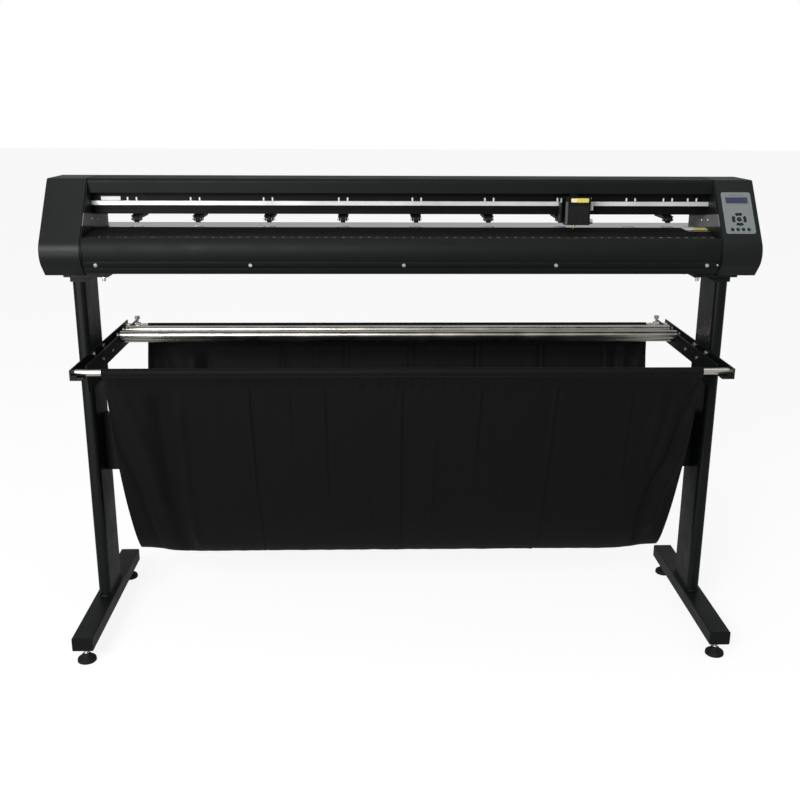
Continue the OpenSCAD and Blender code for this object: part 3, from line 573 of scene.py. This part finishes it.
# Creases and folds in the hanging cloth: height, half width and the places they run through, as pairs of the
# share of the way down and X
CREASES = (
    (2.5, 3.4, ((0.04, -360), (1, -358))), (2, 3.4, ((0.05, -186), (0.62, -185))),
    (1.8, 3.6, ((0.55, -83), (0.97, -84))), (2.5, 3.4, ((0.03, -7), (0.98, -8))),
    (1.8, 3.6, ((0.28, 77), (0.82, 69))), (2.2, 3.6, ((0.05, 178), (0.55, 171))),
    (3.3, 4.2, ((0.03, 353), (1, 347))), (2.2, 3.8, ((0.05, 529), (0.55, 536))),
    (1.5, 3.6, ((0.4, 250), (0.7, 246))), (1.2, 3.4, ((0.05, -268), (0.4, -266))),
)
END_FOLDS = (
    (-7, 9, ((0.0, -690), (0.3, -676), (0.55, -646), (0.8, -636), (1, -632))),
    (7, 16, ((0.05, -664), (0.2, -630), (0.45, -602), (0.7, -596))),
    (-15.4, 24, ((0.08, -566), (0.5, -567), (1, -559))),
    (5.6, 12, ((0.1, -522), (0.6, -530), (0.95, -526))),
    (-11.2, 12, ((0.02, 684), (0.23, 660), (0.4, 650), (0.53, 623), (0.68, 614), (0.95, 616))),
    (8.4, 16, ((0.05, 672), (0.4, 668), (0.6, 645), (0.85, 640))),
    (-5.6, 10, ((0.05, 628), (0.35, 612), (0.5, 606))),
    (4.2, 12, ((0.06, 604), (0.4, 590))),
)


def run_through(places, share):
    """X of a crease at a share of the way down, and how strongly it shows there."""
    for (a, xa), (b, xb) in zip(places, places[1:]):
        if share <= b:
            break
    k = max(0.0, min(1.0, (share - a) / (b - a)))
    first, last = places[0][0], places[-1][0]
    strength = smooth(share, first - 0.02, first + 0.08) * (1 - smooth(share, last - 0.1, last + 0.02))
    return xa + (xb - xa) * k, strength


def cloth_lift(x, s, total):
    """How far a point of the cloth stands outwards from its plain hanging shape."""
    half = total / 2
    share = min(s, total - s) / half             # 0 at a bar, 1 at the bottom
    if share <= 0:
        return 0.0
    front = s < half
    shift = 0 if front else 37
    near = x - shift
    lift = 0.0
    for height, width, places in CREASES:
        if abs(near - places[0][1]) > 60:
            continue
        place, strength = run_through(places, share)
        d = (near - place) / width
        if strength and abs(d) < 5:
            lift += height * strength * (math.exp(-d * d) - 0.9 * math.exp(-(d - 1.7) ** 2))
    for height, width, places in END_FOLDS:
        if abs(x - places[0][1]) > 190:
            continue
        place, strength = run_through(places, share)
        d = (x - place) / width
        if strength and abs(d) < 4:
            lift += height * strength * math.exp(-d * d) * (1 - 0.85 * smooth(share, 0.8, 1))
    side = 1 if front else -1
    hold = smooth(share, 0.03, 0.16)
    soft = noise.noise(Vector((x * 0.006, side * s * 0.004, 3.1)))
    fine = noise.noise(Vector((x * 0.035, side * s * 0.008, 7.7)))
    gather = 0.7 + 1.3 * math.exp(-((x - 5) / 150) ** 2)
    gather *= math.exp(-((share - 0.05) / 0.045) ** 2)
    pucker = noise.noise(Vector((x * 0.1, side * s * 0.012, 1.3))) * gather
    near_bar = min(s, total - s)
    hem = 0.8 * (1 - smooth(near_bar, 6, 10)) * smooth(near_bar, 0, 4)
    return lift + (2.6 * soft * (1 - 0.8 * smooth(share, 0.85, 1)) + 0.9 * fine) * hold + 1.5 * pucker + hem


def add_cloth():
    path, total = basket()
    columns = 420
    made = bmesh.new()
    layer = made.verts.layers.float_vector.new("cloth")
    grid = []
    length = 0.0
    before = None
    for n, (point, s) in enumerate(path):
        if before is not None:
            length += (point - before).length
        before = point
        a = path[max(n - 1, 0)][0]
        b = path[min(n + 1, len(path) - 1)][0]
        d = (b - a).normalized()
        out = Vector((d.y, -d.x))
        row = []
        half = total / 2
        share = max(0.0, min(s, total - s) / half)
        for c in range(columns + 1):
            u = -1 + 2 * c / columns
            x = BASKET_HALF * u
            lift = cloth_lift(x, s, total)
            # the unsupported side edges sag less at the bottom, and pull in a little
            rise = 12 * smooth(share, 0.55, 1.0) * smooth(abs(x), 560, BASKET_HALF)
            x -= math.copysign(5 * smooth(share, 0.2, 0.9) * smooth(abs(x), 500, BASKET_HALF), x)
            vert = made.verts.new(Vector((x, point.x + out.x * lift, point.y + out.y * lift + rise)) * MM)
            vert[layer] = Vector((x, length, 0)) * MM
            row.append(vert)
        grid.append(row)
    for a, b in zip(grid, grid[1:]):
        for c in range(columns):
            made.faces.new((a[c], a[c + 1], b[c + 1], b[c]))
    bmesh.ops.recalc_face_normals(made, faces=made.faces)
    cloth = finish_mesh(made, "basket_cloth", CLOTH, "root", angle=60)
    thick = cloth.modifiers.new("thickness", "SOLIDIFY")
    thick.thickness = 0.9 * MM
    thick.offset = 0
    cloth.modifiers.move(1, 0)
    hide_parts("media_basket")
    return cloth, length


cloth, cloth_length = add_cloth()


# ---------- ribbed front apron ----------

APRON_C, APRON_R, APRON_T = (-85, BODY_Z + 55), 50, 2.5
APRON_TURN = arc(*APRON_C, APRON_R, 200, 200, 1)[0]     # where the flat lower face starts
APRON_LOW = (-121, BODY_Z + 11)
SCREW_Z = BODY_Z + 28
SLOPE_FALL = 0.12
FLAT_Y, STRIP_Y = -8, -40
SLOPE_Z = PLATEN_Z - (FLAT_Y - PLATEN_FRONT) * SLOPE_FALL


def add_apron():
    """Pressed front cover with a round belly, two long grooves and a crowned rib between them."""
    top = SLOPE_Z + 1
    skin = arc(*APRON_C, APRON_R, 140, 200, 24)
    start, end = Vector(skin[-1]), Vector(APRON_LOW)
    down = (end - start).normalized()
    inward = Vector((-down.y, down.x))
    # distance down the lower face, and depth
    grooves = ((0.6, 0), (1.2, 1.3), (2.8, 1.3), (3.6, -0.1), (6, -0.8), (10.5, -1.1), (15, -0.8),
               (18, -0.1), (18.8, 1.3), (20.6, 1.3), (21.2, 0))
    skin += [tuple(start + down * s + inward * d) for s, d in grooves] + [APRON_LOW]
    foot = BODY_Z + 7
    back = arc(*APRON_C, APRON_R - APRON_T, 200, 140, 24)
    lip = [(-119, foot), (-117.4, foot), (-117.4, foot + 2), (-119, foot + 5)]
    edge = PLATEN_FRONT - 0.2
    outline = [(edge, top), (-121, top)] + skin + lip + back + [(-121, top - APRON_T), (edge, top - APRON_T)]
    apron = Shape().prism(outline, -SIDE_IN, SIDE_IN, ALONG_X)
    apron = apron.piece("apron_pressing", COVER, slot="powder_coat", bevel=0.25, segments=1)
    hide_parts("front_apron")


add_apron()


# ---------- screws ----------

def cross(width, length):
    """Radius of a cross-shaped recess at an angle."""
    def radius(a):
        c, s = max(abs(math.cos(a)), 1e-6), max(abs(math.sin(a)), 1e-6)
        return max(min(length / c, width / s), min(width / c, length / s))
    return radius


def socket(across):
    """Radius of a hexagonal recess at an angle."""
    return lambda a: across / 2 / math.cos((a + math.pi / 6) % (math.pi / 3) - math.pi / 6)


def screw_head(shape, place, r, h, recess, depth, steps=48):
    """Domed screw head with a recess, its underside at the place's origin."""
    dome = ((1, 0), (1, 0.3), (0.97, 0.5), (0.86, 0.78), (0.68, 0.95))
    rings = [(lambda a, k=k: r * k, h * z) for k, z in dome]
    rings += [(recess, h), (recess, h - depth)]
    verts, faces = [], []
    for radius, z in rings:
        for i in range(steps):
            a = 2 * math.pi * i / steps
            verts.append((radius(a) * math.cos(a), radius(a) * math.sin(a), z))
    for k in range(len(rings) - 1):
        for i in range(steps):
            j = (i + 1) % steps
            faces.append((k * steps + i, k * steps + j, (k + 1) * steps + j, (k + 1) * steps + i))
    faces.append(list(range(steps))[::-1])
    faces.append(list(range((len(rings) - 1) * steps, len(rings) * steps)))
    shape.add(verts, faces, place)


def add_screws():
    apron = Shape()
    run, fall = APRON_LOW[0] - APRON_TURN[0], APRON_TURN[1] - APRON_LOW[1]
    normal = Vector((0, -fall, -run))
    y = APRON_TURN[0] + (APRON_TURN[1] - SCREW_Z) * run / fall
    for i in range(-2, 3):
        screw_head(apron, facing(i * 354, y, SCREW_Z, normal), 4.6, 3.5, cross(0.6, 2.3), 1.6)
    screw_head(apron, facing(SIDE_IN - 4, y, SCREW_Z, normal), 2.8, 2.2, cross(0.5, 1.6), 1.1)
    apron.piece("apron_screws", ZINC, slot="zinc_steel")
    wall = Shape()
    for side in (-1, 1):
        for y, up in ((-20, 20), (24, 16), (72, 42)):
            at = facing(side * (HALF_BAY - 3), y, PLATEN_Z + up, (-side, 0, 0))
            screw_head(wall, at, 3.4, 2.2, cross(0.5, 1.8), 1.1)
    wall.piece("wall_screws", ZINC, slot="zinc_steel")


add_screws()


# ---------- print on the platen, beam and panel ----------

SLOPE = Matrix.Translation((0, PLATEN_FRONT, SLOPE_Z)) @ Matrix.Rotation(math.atan(SLOPE_FALL), 4, "X")
GRIT_X = (-643, -494, -321, -142, 34, 208, 383, 550, 640, 699)
MARK_APART = 10.5
# Strokes of a digit on a grid one wide and two high, and the strokes that each digit uses
STROKES = {"a": (0, 2, 1, 2), "b": (1, 1, 1, 2), "c": (1, 0, 1, 1), "d": (0, 0, 1, 0), "e": (0, 0, 0, 1),
           "f": (0, 1, 0, 2), "g": (0, 1, 1, 1)}
DIGITS = ("abcdef", "bc", "abged", "abgcd", "fgbc", "afgcd", "afgedc", "abc", "abcdefg", "abcdfg")


def draw_number(shape, number, x, y, height, line, place):
    """Upright digits centred on x, their feet at y."""
    wide, tall = height * 0.5, height / 2
    pitch = wide + height * 0.28
    text = str(number)
    left = x - (len(text) * pitch - height * 0.28) / 2
    for k, digit in enumerate(text):
        for stroke in DIGITS[int(digit)]:
            x0, y0, x1, y1 = STROKES[stroke]
            ax, bx = left + k * pitch + x0 * wide, left + k * pitch + x1 * wide
            ay, by = y + y0 * tall, y + y1 * tall
            shape.box((ax - line / 2, ay - line / 2, -0.1), (bx + line / 2, by + line / 2, 0.12), place)


def add_print():
    ruler = Shape()
    count = int((SIDE_IN - 8) / 10)
    for n in range(-count, count + 1):
        x = n * 10
        ruler.box((x - 0.5, 2.5, -0.1), (x + 0.5, 6 if n % 2 else 5, 0.12), SLOPE)
        if n % 2 == 0 and abs(x) < SIDE_IN - 14:
            draw_number(ruler, n + count + 1, x, 7.6, 4.4, 0.8, SLOPE)
    ruler.piece("ruler_marks", RULER, slot="platen_metal")

    strip = Shape()
    tilt = Matrix.Rotation(math.atan(SLOPE_FALL), 4, "X")
    at = Matrix.Translation((0, STRIP_Y, PLATEN_Z - (FLAT_Y - STRIP_Y) * SLOPE_FALL)) @ tilt
    strip.box((-SIDE_IN + 1, -5, -0.1), (SIDE_IN - 1, 5, 0.35), at)
    strip.piece("cutting_strip", PLASTIC, slot="platen_metal", bevel=0.15)

    # a pair of white marks over each grit wheel, and a white label at the beam's left end
    marks = Shape()
    face, z = BEAM_FRONT, RAIL_HIGH.z
    for middle in GRIT_X:
        for x in (middle - MARK_APART, middle + MARK_APART):
            marks.box((x - 1.8, face - 0.25, z), (x + 1.8, face + 0.1, z + 8))
    corners = [(-716, z + 1), (-670, z + 1), (-670, z + 10), (-716, z + 10)]
    marks.prism(corners, -face - 0.1, -face + 0.3, UPRIGHT)
    marks.piece("beam_marks", WHITE, slot="black_anodised")

    def on_slope(corners):
        return [(x, (y - PLATEN_FRONT) * math.hypot(1, SLOPE_FALL)) for x, y in corners]

    end = SIDE_IN - 1
    label = Shape().prism(on_slope(((676, -9), (684, -46), (end, -46), (end, -9))), -0.1, 0.14, SLOPE)
    label.piece("platen_label", WHITE, slot="platen_metal")
    end = SIDE_IN - 2
    stripe = Shape().prism(on_slope(((702, -12), (706, -42), (end, -42), (end, -12))), 0.1, 0.2, SLOPE)
    stripe.piece("platen_label_stripe", YELLOW, slot="platen_metal")

    lip = Shape()
    lip.box((-SIDE_IN, BEAM_FRONT - 1.4, BEAM_LOW), (SIDE_IN, BEAM_FRONT + 0.2, BEAM_LOW + 9))
    lip.box((-SIDE_IN, BEAM_FRONT - 1.4, BEAM_LOW + 12), (SIDE_IN, BEAM_FRONT + 0.2, RAIL_LOW.z - 1))
    lip.piece("beam_ribs", ANODISED, slot="black_anodised", bevel=0.4)


add_print()


# ---------- control panel ----------

PANEL_TILT = Matrix.Rotation(math.radians(52.5), 4, "X")
PANEL_OUT = PANEL_TILT @ Vector((0, 0, 1))
PANEL_MIDDLE = (low("control_panel") + high("control_panel")) / 2
PANEL_AT = Matrix.Translation(PANEL_MIDDLE + PANEL_OUT * 0.25) @ PANEL_TILT
PANEL_TOP, KEY_TOP = 1.0, 1.6
DISPLAY_UP, NAV_UP, FKEY_UP = 33.5, -17.5, -45
FKEY_X = [12.9 * (i - 1.5) for i in range(4)]


# Columns that are lit in each row of the display
LIT_CELLS = (range(9), (0, 1, 2, 6, 7, 12))


def add_panel_print():
    top = PANEL_TOP
    print_ = Shape()
    lines = [(0, DISPLAY_UP + 14.5, 34)] + [(x, FKEY_UP - 7, 6) for x in FKEY_X]
    for x, y, w in lines:
        print_.box((x - w / 2, y - 0.35, top - 0.05), (x + w / 2, y + 0.35, top + 0.08), PANEL_AT)
    for x in FKEY_X:
        at = PANEL_AT @ Matrix.Translation((x, FKEY_UP + 6.6, 0))
        print_.prism(rounded(1.6, 1.6, 0.79), top - 0.05, top + 0.08, at)
    print_.piece("panel_print", KEY, slot="panel_grey")

    outer, inner = rounded(56.5, 20.5, 2.2), rounded(52.6, 16.6, 1.2)
    rings = ((outer, top - 0.1), (outer, top + 0.5), (inner, top + 0.8), (inner, top - 0.1))
    bezel = Shape().skin(rings, PANEL_AT @ Matrix.Translation((0, DISPLAY_UP, 0)))
    bezel.piece("display_bezel", PANEL, slot="panel_grey")

    # two rows of sixteen character cells, and a short bar graph of lit ones
    glass = (PANEL_AT.inverted() @ ((low("display_window") + high("display_window")) / 2)).z
    cells, lit = Shape(), Shape()
    for row in (0, 1):
        for column in range(16):
            x, y = (column - 7.5) * 2.95, DISPLAY_UP + 2.9 - row * 5.8
            target = lit if column in LIT_CELLS[row] else cells
            target.box((x - 1.15, y - 2.0, glass), (x + 1.15, y + 2.0, PANEL_TOP - 0.12), PANEL_AT)
    cells.piece("display_cells", LENS, slot="display_lens")
    lit.piece("display_cells_lit", LIT, slot="display_lens")

    for name, angle in (("up", 90), ("down", -90), ("left", 180), ("right", 0)):
        a = math.radians(angle)
        mid = Vector((math.cos(a) * 13.9, NAV_UP + math.sin(a) * 13.9))
        along, side = Vector((math.cos(a), math.sin(a))), Vector((-math.sin(a), math.cos(a)))
        corners = [mid + along * 1.5, mid - along * 1.1 + side * 1.8, mid - along * 1.1 - side * 1.8]
        arrow = Shape().prism([tuple(c) for c in corners], KEY_TOP - 0.1, KEY_TOP + 0.1, PANEL_AT)
        arrow.piece("mark_" + name, MARK, body_of("key_" + name), "key_rubber")
    ring = Shape()
    at = PANEL_AT @ Matrix.Translation((0, NAV_UP, KEY_TOP))
    ring.turn([(1.5, -0.1), (2.3, -0.1), (2.3, 0.1), (1.5, 0.1)], at)
    ring.piece("mark_centre", MARK, body_of("key_centre"), "key_rubber")
    signs = ([(-1.6, -0.4, 1.6, 0.4)], [(-1.6, -1.3, -0.6, 1.3), (0.6, -1.3, 1.6, 1.3)],
             [(-1.6, -0.4, 1.6, 0.4), (-0.4, -1.6, 0.4, 1.6)], [(-1.3, -1.3, 1.3, 1.3)])
    for i, boxes in enumerate(signs):
        sign = Shape()
        for x0, y0, x1, y1 in boxes:
            at = PANEL_AT @ Matrix.Translation((FKEY_X[i], FKEY_UP, KEY_TOP))
            sign.box((x0, y0, -0.1), (x1, y1, 0.1), at)
        sign.piece(f"mark_f{i + 1}", MARK, body_of(f"key_f{i + 1}"), "key_rubber")


add_panel_print()


# ---------- carriage ----------

C_LOW, C_HIGH = low("carriage_cover"), high("carriage_cover")


def add_carriage():
    front = C_LOW.y
    ribs = Shape()
    for i in range(17):
        x = C_LOW.x + 9 + i * 2.85
        ribs.tube([(x, front + 0.3, C_LOW.z + 1.5), (x, front + 0.3, C_HIGH.z - 22)], 0.95, 12)
    ribs.piece("cover_ribs", SATIN, "carriage", "black_plastic")
    middle = (C_LOW.x + C_HIGH.x) / 2 + 4
    label = Shape().prism(rounded(42, 9.6, 1.6), -front - 0.1, -front + 0.3,
                          Matrix.Translation((middle, 0, C_HIGH.z - 8.2)) @ UPRIGHT)
    label.piece("cover_label", YELLOW, "carriage", "black_plastic")
    end = Shape().prism(rounded(12, 6.4, 1.2), -front + 0.25, -front + 0.4,
                        Matrix.Translation((middle - 13, 0, C_HIGH.z - 8.2)) @ UPRIGHT)
    end.piece("cover_label_end", WHITE, "carriage", "black_plastic")
    edge = Shape()
    edge.prism(rounded(6, C_HIGH.z - C_LOW.z - 12, 1.5), -front - 0.2, -front + 0.7,
               Matrix.Translation((C_LOW.x + 3.4, 0, (C_LOW.z + C_HIGH.z) / 2 - 5)) @ UPRIGHT)
    edge.piece("cover_edge_strip", SMOKE, "carriage", "black_plastic", bevel=0.3)
    clip = Shape()
    at = Matrix.Translation((C_HIGH.x + 4.8, front + 17, 0))
    clip.prism(rounded(9.4, 9, 1.8), C_HIGH.z - 33, C_HIGH.z - 13, at)
    clip.piece("tool_clamp_clip", CREAM, "carriage", "black_plastic", bevel=0.8, segments=3)
    bracket = Shape()
    bracket.box((C_LOW.x - 11.4, front + 7.4, C_HIGH.z - 14), (C_LOW.x - 7.2, front + 9.2, C_HIGH.z - 4))
    bracket.piece("bracket_edge", ALUMINIUM, "carriage", "bare_aluminium", bevel=0.4)
    knob = Shape()
    teeth = [(6.0 - 0.35 * (i % 2), math.tau * i / 56) for i in range(56)]
    at = facing(C_HIGH.x, front + 17, C_LOW.z + 7, (1, 0, 0))
    knob.prism([(r * math.cos(a), r * math.sin(a)) for r, a in teeth], 1.5, 9.5, at)
    knob.turn([(0, -0.5), (3.2, -0.5), (3.2, 1.8), (0, 1.8)], at)
    knob.piece("tool_clamp_knob", ZINC, "carriage", "zinc_steel", bevel=0.15, segments=1, angle=50)
    screws = Shape()
    left = C_LOW.x - 5
    for x, z in ((C_HIGH.x + 5.5, C_HIGH.z - 6), (left, C_LOW.z + 9), (left, C_HIGH.z - 14)):
        screw_head(screws, facing(x, -28.2, z, (0, -1, 0)), 2.4, 1.6, socket(2.4), 1.1, 36)
    screws.piece("bracket_screws", ZINC, "carriage", "zinc_steel")


add_carriage()


# ---------- pinch units ----------

LIFT_Y, LIFT_Z = 66, PLATEN_Z + 46
TYRE_PROFILE = (
    (2.2, -5.9), (4.6, -5.9), (4.9, -5.5), (7.3, -5.5), (7.8, -5.2), (8, -4.6), (8, -2.5), (7.6, -2.25),
    (7.6, -1.95), (8, -1.7), (8, -0.35), (7.6, -0.15), (7.6, 0.15), (8, 0.35), (8, 1.7), (7.6, 1.95),
    (7.6, 2.25), (8, 2.5), (8, 4.6), (7.8, 5.2), (7.3, 5.5), (4.9, 5.5), (4.6, 5.9), (2.2, 5.9))
AXLE_PROFILE = (
    (0, -11), (1.7, -11), (2, -10.7), (2, -6.2), (3.6, -6.2),
    (3.6, 6.2), (2, 6.2), (2, 10.7), (1.7, 11), (0, 11))


def add_pinch_unit(i):
    wheel, arm = f"pinch_wheel_{i}", f"pinch_arm_{i}"
    centre = (low(wheel) + high(wheel)) / 2
    x = centre.x
    at = facing(*centre, (1, 0, 0))
    tyre = Shape().turn(TYRE_PROFILE, at, 40)
    tyre = tyre.piece(f"pinch_tyre_{i}", TYRE, body_of(wheel), "wheel_rubber", angle=25)
    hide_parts(wheel)
    axle = Shape().turn(AXLE_PROFILE, at, 24)
    axle.piece(f"pinch_axle_{i}", ZINC, body_of(wheel), "zinc_steel")
    # spring on the lift shaft, with a leg that presses on the arm's bar
    coil = [(x + 13.3 + 3.9 * k / 60, LIFT_Y + 10.2 * math.sin(math.tau * 3 * k / 60),
             LIFT_Z - 10.2 * math.cos(math.tau * 3 * k / 60)) for k in range(61)]
    leg = [(x + 6, 40, PLATEN_Z + 29.2), (x + 8, 48, PLATEN_Z + 29.4), (x + 12.6, 58, PLATEN_Z + 33.5)]
    Shape().tube(leg + coil, 0.7, 8).piece(f"pinch_spring_{i}", ZINC, body_of(arm), "zinc_steel")
    screws = Shape()
    screw_head(screws, facing(x, 78, LIFT_Z - 3, (0, 1, 0)), 3, 2.6, socket(2.6), 1.6, 36)
    for side in (-1, 1):
        screw_head(screws, facing(x + side * 12, centre.y + 0.6, centre.z, (side, 0, 0)), 2.8, 1.2,
                   cross(0.4, 1.5), 0.7)
    screws.piece(f"pinch_screws_{i}", PLASTIC, body_of(arm), "black_plastic")


for i in range(1, 9):
    add_pinch_unit(i)


# ---------- levelling feet and welds -----------------

def add_feet():
    pads, metal = Shape(), Shape()
    rubber = [(0, 0.3), (17, 0.3), (18, 0), (21.4, 0), (22.4, 0.9), (22.5, 3.6), (21.9, 4.5), (21.9, 5.2),
              (22.2, 5.8), (21.8, 7.6), (20.6, 9.2), (15.5, 12.6), (11.4, 16.4), (9.6, 19.4),
              (8.2, 21), (0, 21)]
    thread = []
    z = 24.6
    while z < 39:
        thread += [(4.35, z), (4.95, z + 0.6)]
        z += 1.25
    ball = [(0, 20), (5.6, 20.4), (6.6, 21.6), (6.6, 22.6), (5.4, 24.2)]
    hexagon = [(9.5 * math.cos(math.tau * k / 6), 9.5 * math.sin(math.tau * k / 6)) for k in range(6)]
    for x in FOOT_X:
        for y in FOOT_Y:
            at = Matrix.Translation((x, y, 0))
            pads.turn(rubber, at, 56)
            metal.turn(ball + thread + [(4.35, 39.9), (0, 39.9)], at, 28)
            metal.prism(hexagon, 32.4, 39.9, at)
            metal.turn([(0, 31.6), (8.8, 31.6), (9.2, 32.5), (0, 32.5)], at, 40)
    pads = pads.piece("foot_pads", RUBBER, slot="black_plastic", angle=50)
    metal = metal.piece("foot_studs", ZINC, slot="zinc_steel", bevel=0.15, segments=1, angle=50)
    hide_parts("levelling_feet")
    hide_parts("levelling_feet")


def add_welds():
    """A slightly uneven bead where each leg tube stands on its foot beam."""
    welds = Shape()
    top = high("foot_beams").z
    leg, middle = LEG_REAR - LEG_FRONT, (LEG_REAR + LEG_FRONT) / 2
    for side in (-1, 1):
        loop = rounded(31, leg + 1, 12.5, 14)
        path = [(side * LEG_X + x, middle + y, top + 0.6) for x, y in loop + loop[:1]]
        fine = []
        for a, b in zip(path, path[1:]):
            n = max(1, int((Vector(b) - Vector(a)).length / 2))
            fine += [Vector(a).lerp(Vector(b), j / n) for j in range(n)]
        fine.append(Vector(path[-1]))
        ripple = [p + Vector((0, 0, 0.35 * math.sin(n * 2.2))) for n, p in enumerate(fine)]
        welds.tube(ripple, 2.1, 10)
    welds.piece("leg_welds", COAT, slot="powder_coat", angle=80)


add_feet()
add_welds()


# ---------- mains inlet and rocker bezel ----------

def add_rear_fittings():
    from_behind = Matrix(((-1, 0, 0, 0), (0, 0, 1, 0), (0, 1, 0, 0), (0, 0, 0, 1)))
    outer, inner = rounded(29.5, 21.5, 3), rounded(23.5, 15.5, 3)
    at = Matrix.Translation((HALF_BAY + 52, HEAD_REAR, BODY_Z + 52)) @ from_behind
    shell = Shape().skin(((outer, 0.1), (outer, 2.2), (inner, 2.2), (inner, 0.9)), at, loop=False)
    shell.piece("inlet_shell", PLASTIC, slot="black_plastic", bevel=0.3)
    pins = Shape()
    for px, py in ((-7, -1.6), (7, -1.6), (0, 2.6)):
        pins.box((px - 1, py - 2, 0.5), (px + 1, py + 2, 2.1), at)
    pins.piece("inlet_pins", BRASS, slot="zinc_steel", bevel=0.25)
    r_low, r_high = low("power_rocker"), high("power_rocker")
    mid_x, mid_z = (r_low.x + r_high.x) / 2, (r_low.z + r_high.z) / 2
    outer, inner = rounded(19, 25, 2), rounded(14.2, 20.2, 0.8)
    at = Matrix.Translation((mid_x, HEAD_REAR, mid_z)) @ from_behind
    bezel = Shape().skin(((outer, 0.05), (outer, 1.1), (inner, 1.5), (inner, 0.05)), at)
    bezel.piece("rocker_bezel", PLASTIC, slot="black_plastic")


add_rear_fittings()


# ---------- stitching ----------

def add_stitches():
    """A row of stitches under each bar, lying on the cloth."""
    path, total = basket()
    thread = Shape()
    for n, (point, s) in enumerate(path[1:-1], 1):
        near = min(s, total - s)
        if abs(near - 6) > 2.6:
            continue
        d = (path[n + 1][0] - path[n - 1][0]).normalized()
        out = Vector((d.y, -d.x))
        x = -BASKET_HALF + 6
        while x < BASKET_HALF - 10:
            ends = []
            for k in (0, 0.5, 1):
                lift = cloth_lift(x + 5 * k, s, total) + 0.45 + 0.35 * math.sin(math.pi * k)
                ends.append((x + 5 * k, point.x + out.x * lift, point.y + out.y * lift))
            thread.tube(ends, 0.4, 5)
            x += 7.6
    thread.piece("hem_stitches", THREAD, slot="black_cloth")


add_stitches()


# ---------- light, floor and background ----------

def add_light(name, place, target, size, power):
    data = bpy.data.lights.new(name, "AREA")
    data.shape = "RECTANGLE"
    data.size, data.size_y = size
    data.energy = power
    light = bpy.data.objects.new(name, data)
    aim = (Vector(target) - Vector(place)).to_track_quat("-Z", "Y")
    light.matrix_world = Matrix.Translation(place) @ aim.to_matrix().to_4x4()
    bpy.context.scene.collection.objects.link(light)


def add_floor():
    mesh = bpy.data.meshes.new("floor")
    size = 30
    corners = [(-size, -size, 0), (size, -size, 0), (size, size, 0), (-size, size, 0)]
    mesh.from_pydata(corners, [], [(0, 1, 2, 3)])
    floor = bpy.data.objects.new("floor", mesh)
    floor.location.z = -0.0005
    bpy.context.scene.collection.objects.link(floor)
    mat = bpy.data.materials.new("floor")
    mat.use_nodes = True
    nodes, links = mat.node_tree.nodes, mat.node_tree.links
    shader = nodes["Principled BSDF"]
    shader.inputs["Base Color"].default_value = (0.2, 0.2, 0.2, 1)
    shader.inputs["Roughness"].default_value = 0.9
    shader.inputs["Specular IOR Level"].default_value = 0.0
    shader.inputs["Emission Color"].default_value = (1, 1, 1, 1)
    ray = nodes.new("ShaderNodeLightPath")
    glow = nodes.new("ShaderNodeMapRange")
    glow.inputs["To Min"].default_value = 0.25
    glow.inputs["To Max"].default_value = 0.86
    links.new(ray.outputs["Is Camera Ray"], glow.inputs["Value"])
    links.new(glow.outputs["Result"], shader.inputs["Emission Strength"])
    mesh.materials.append(mat)


def add_world():
    """White all round for the camera, and a softer even light for the object."""
    world = bpy.data.worlds.new("studio")
    bpy.context.scene.world = world
    world.use_nodes = True
    nodes, links = world.node_tree.nodes, world.node_tree.links
    out = nodes["World Output"]
    lit = nodes["Background"]
    lit.inputs["Strength"].default_value = 0.36
    lit.inputs["Color"].default_value = (1, 1, 1, 1)
    seen = nodes.new("ShaderNodeBackground")
    seen.inputs["Color"].default_value = (1, 1, 1, 1)
    ray = nodes.new("ShaderNodeLightPath")
    mix = nodes.new("ShaderNodeMixShader")
    links.new(ray.outputs["Is Camera Ray"], mix.inputs["Fac"])
    links.new(lit.outputs["Background"], mix.inputs[1])
    links.new(seen.outputs["Background"], mix.inputs[2])
    links.new(mix.outputs["Shader"], out.inputs["Surface"])


add_world()
add_floor()
add_light("overhead", (0, -0.6, 3.2), (0, 0, 0.9), (3.4, 1.6), 14)
add_light("key", (-1.5, -3.6, 2.5), (0, 0, 0.75), (1.6, 1.2), 115)
add_light("front_left", (-1.55, -2.5, 0.62), (-0.79, -0.14, 0.96), (0.9, 0.7), 12)
bpy.context.scene.view_settings.view_transform = "Standard"
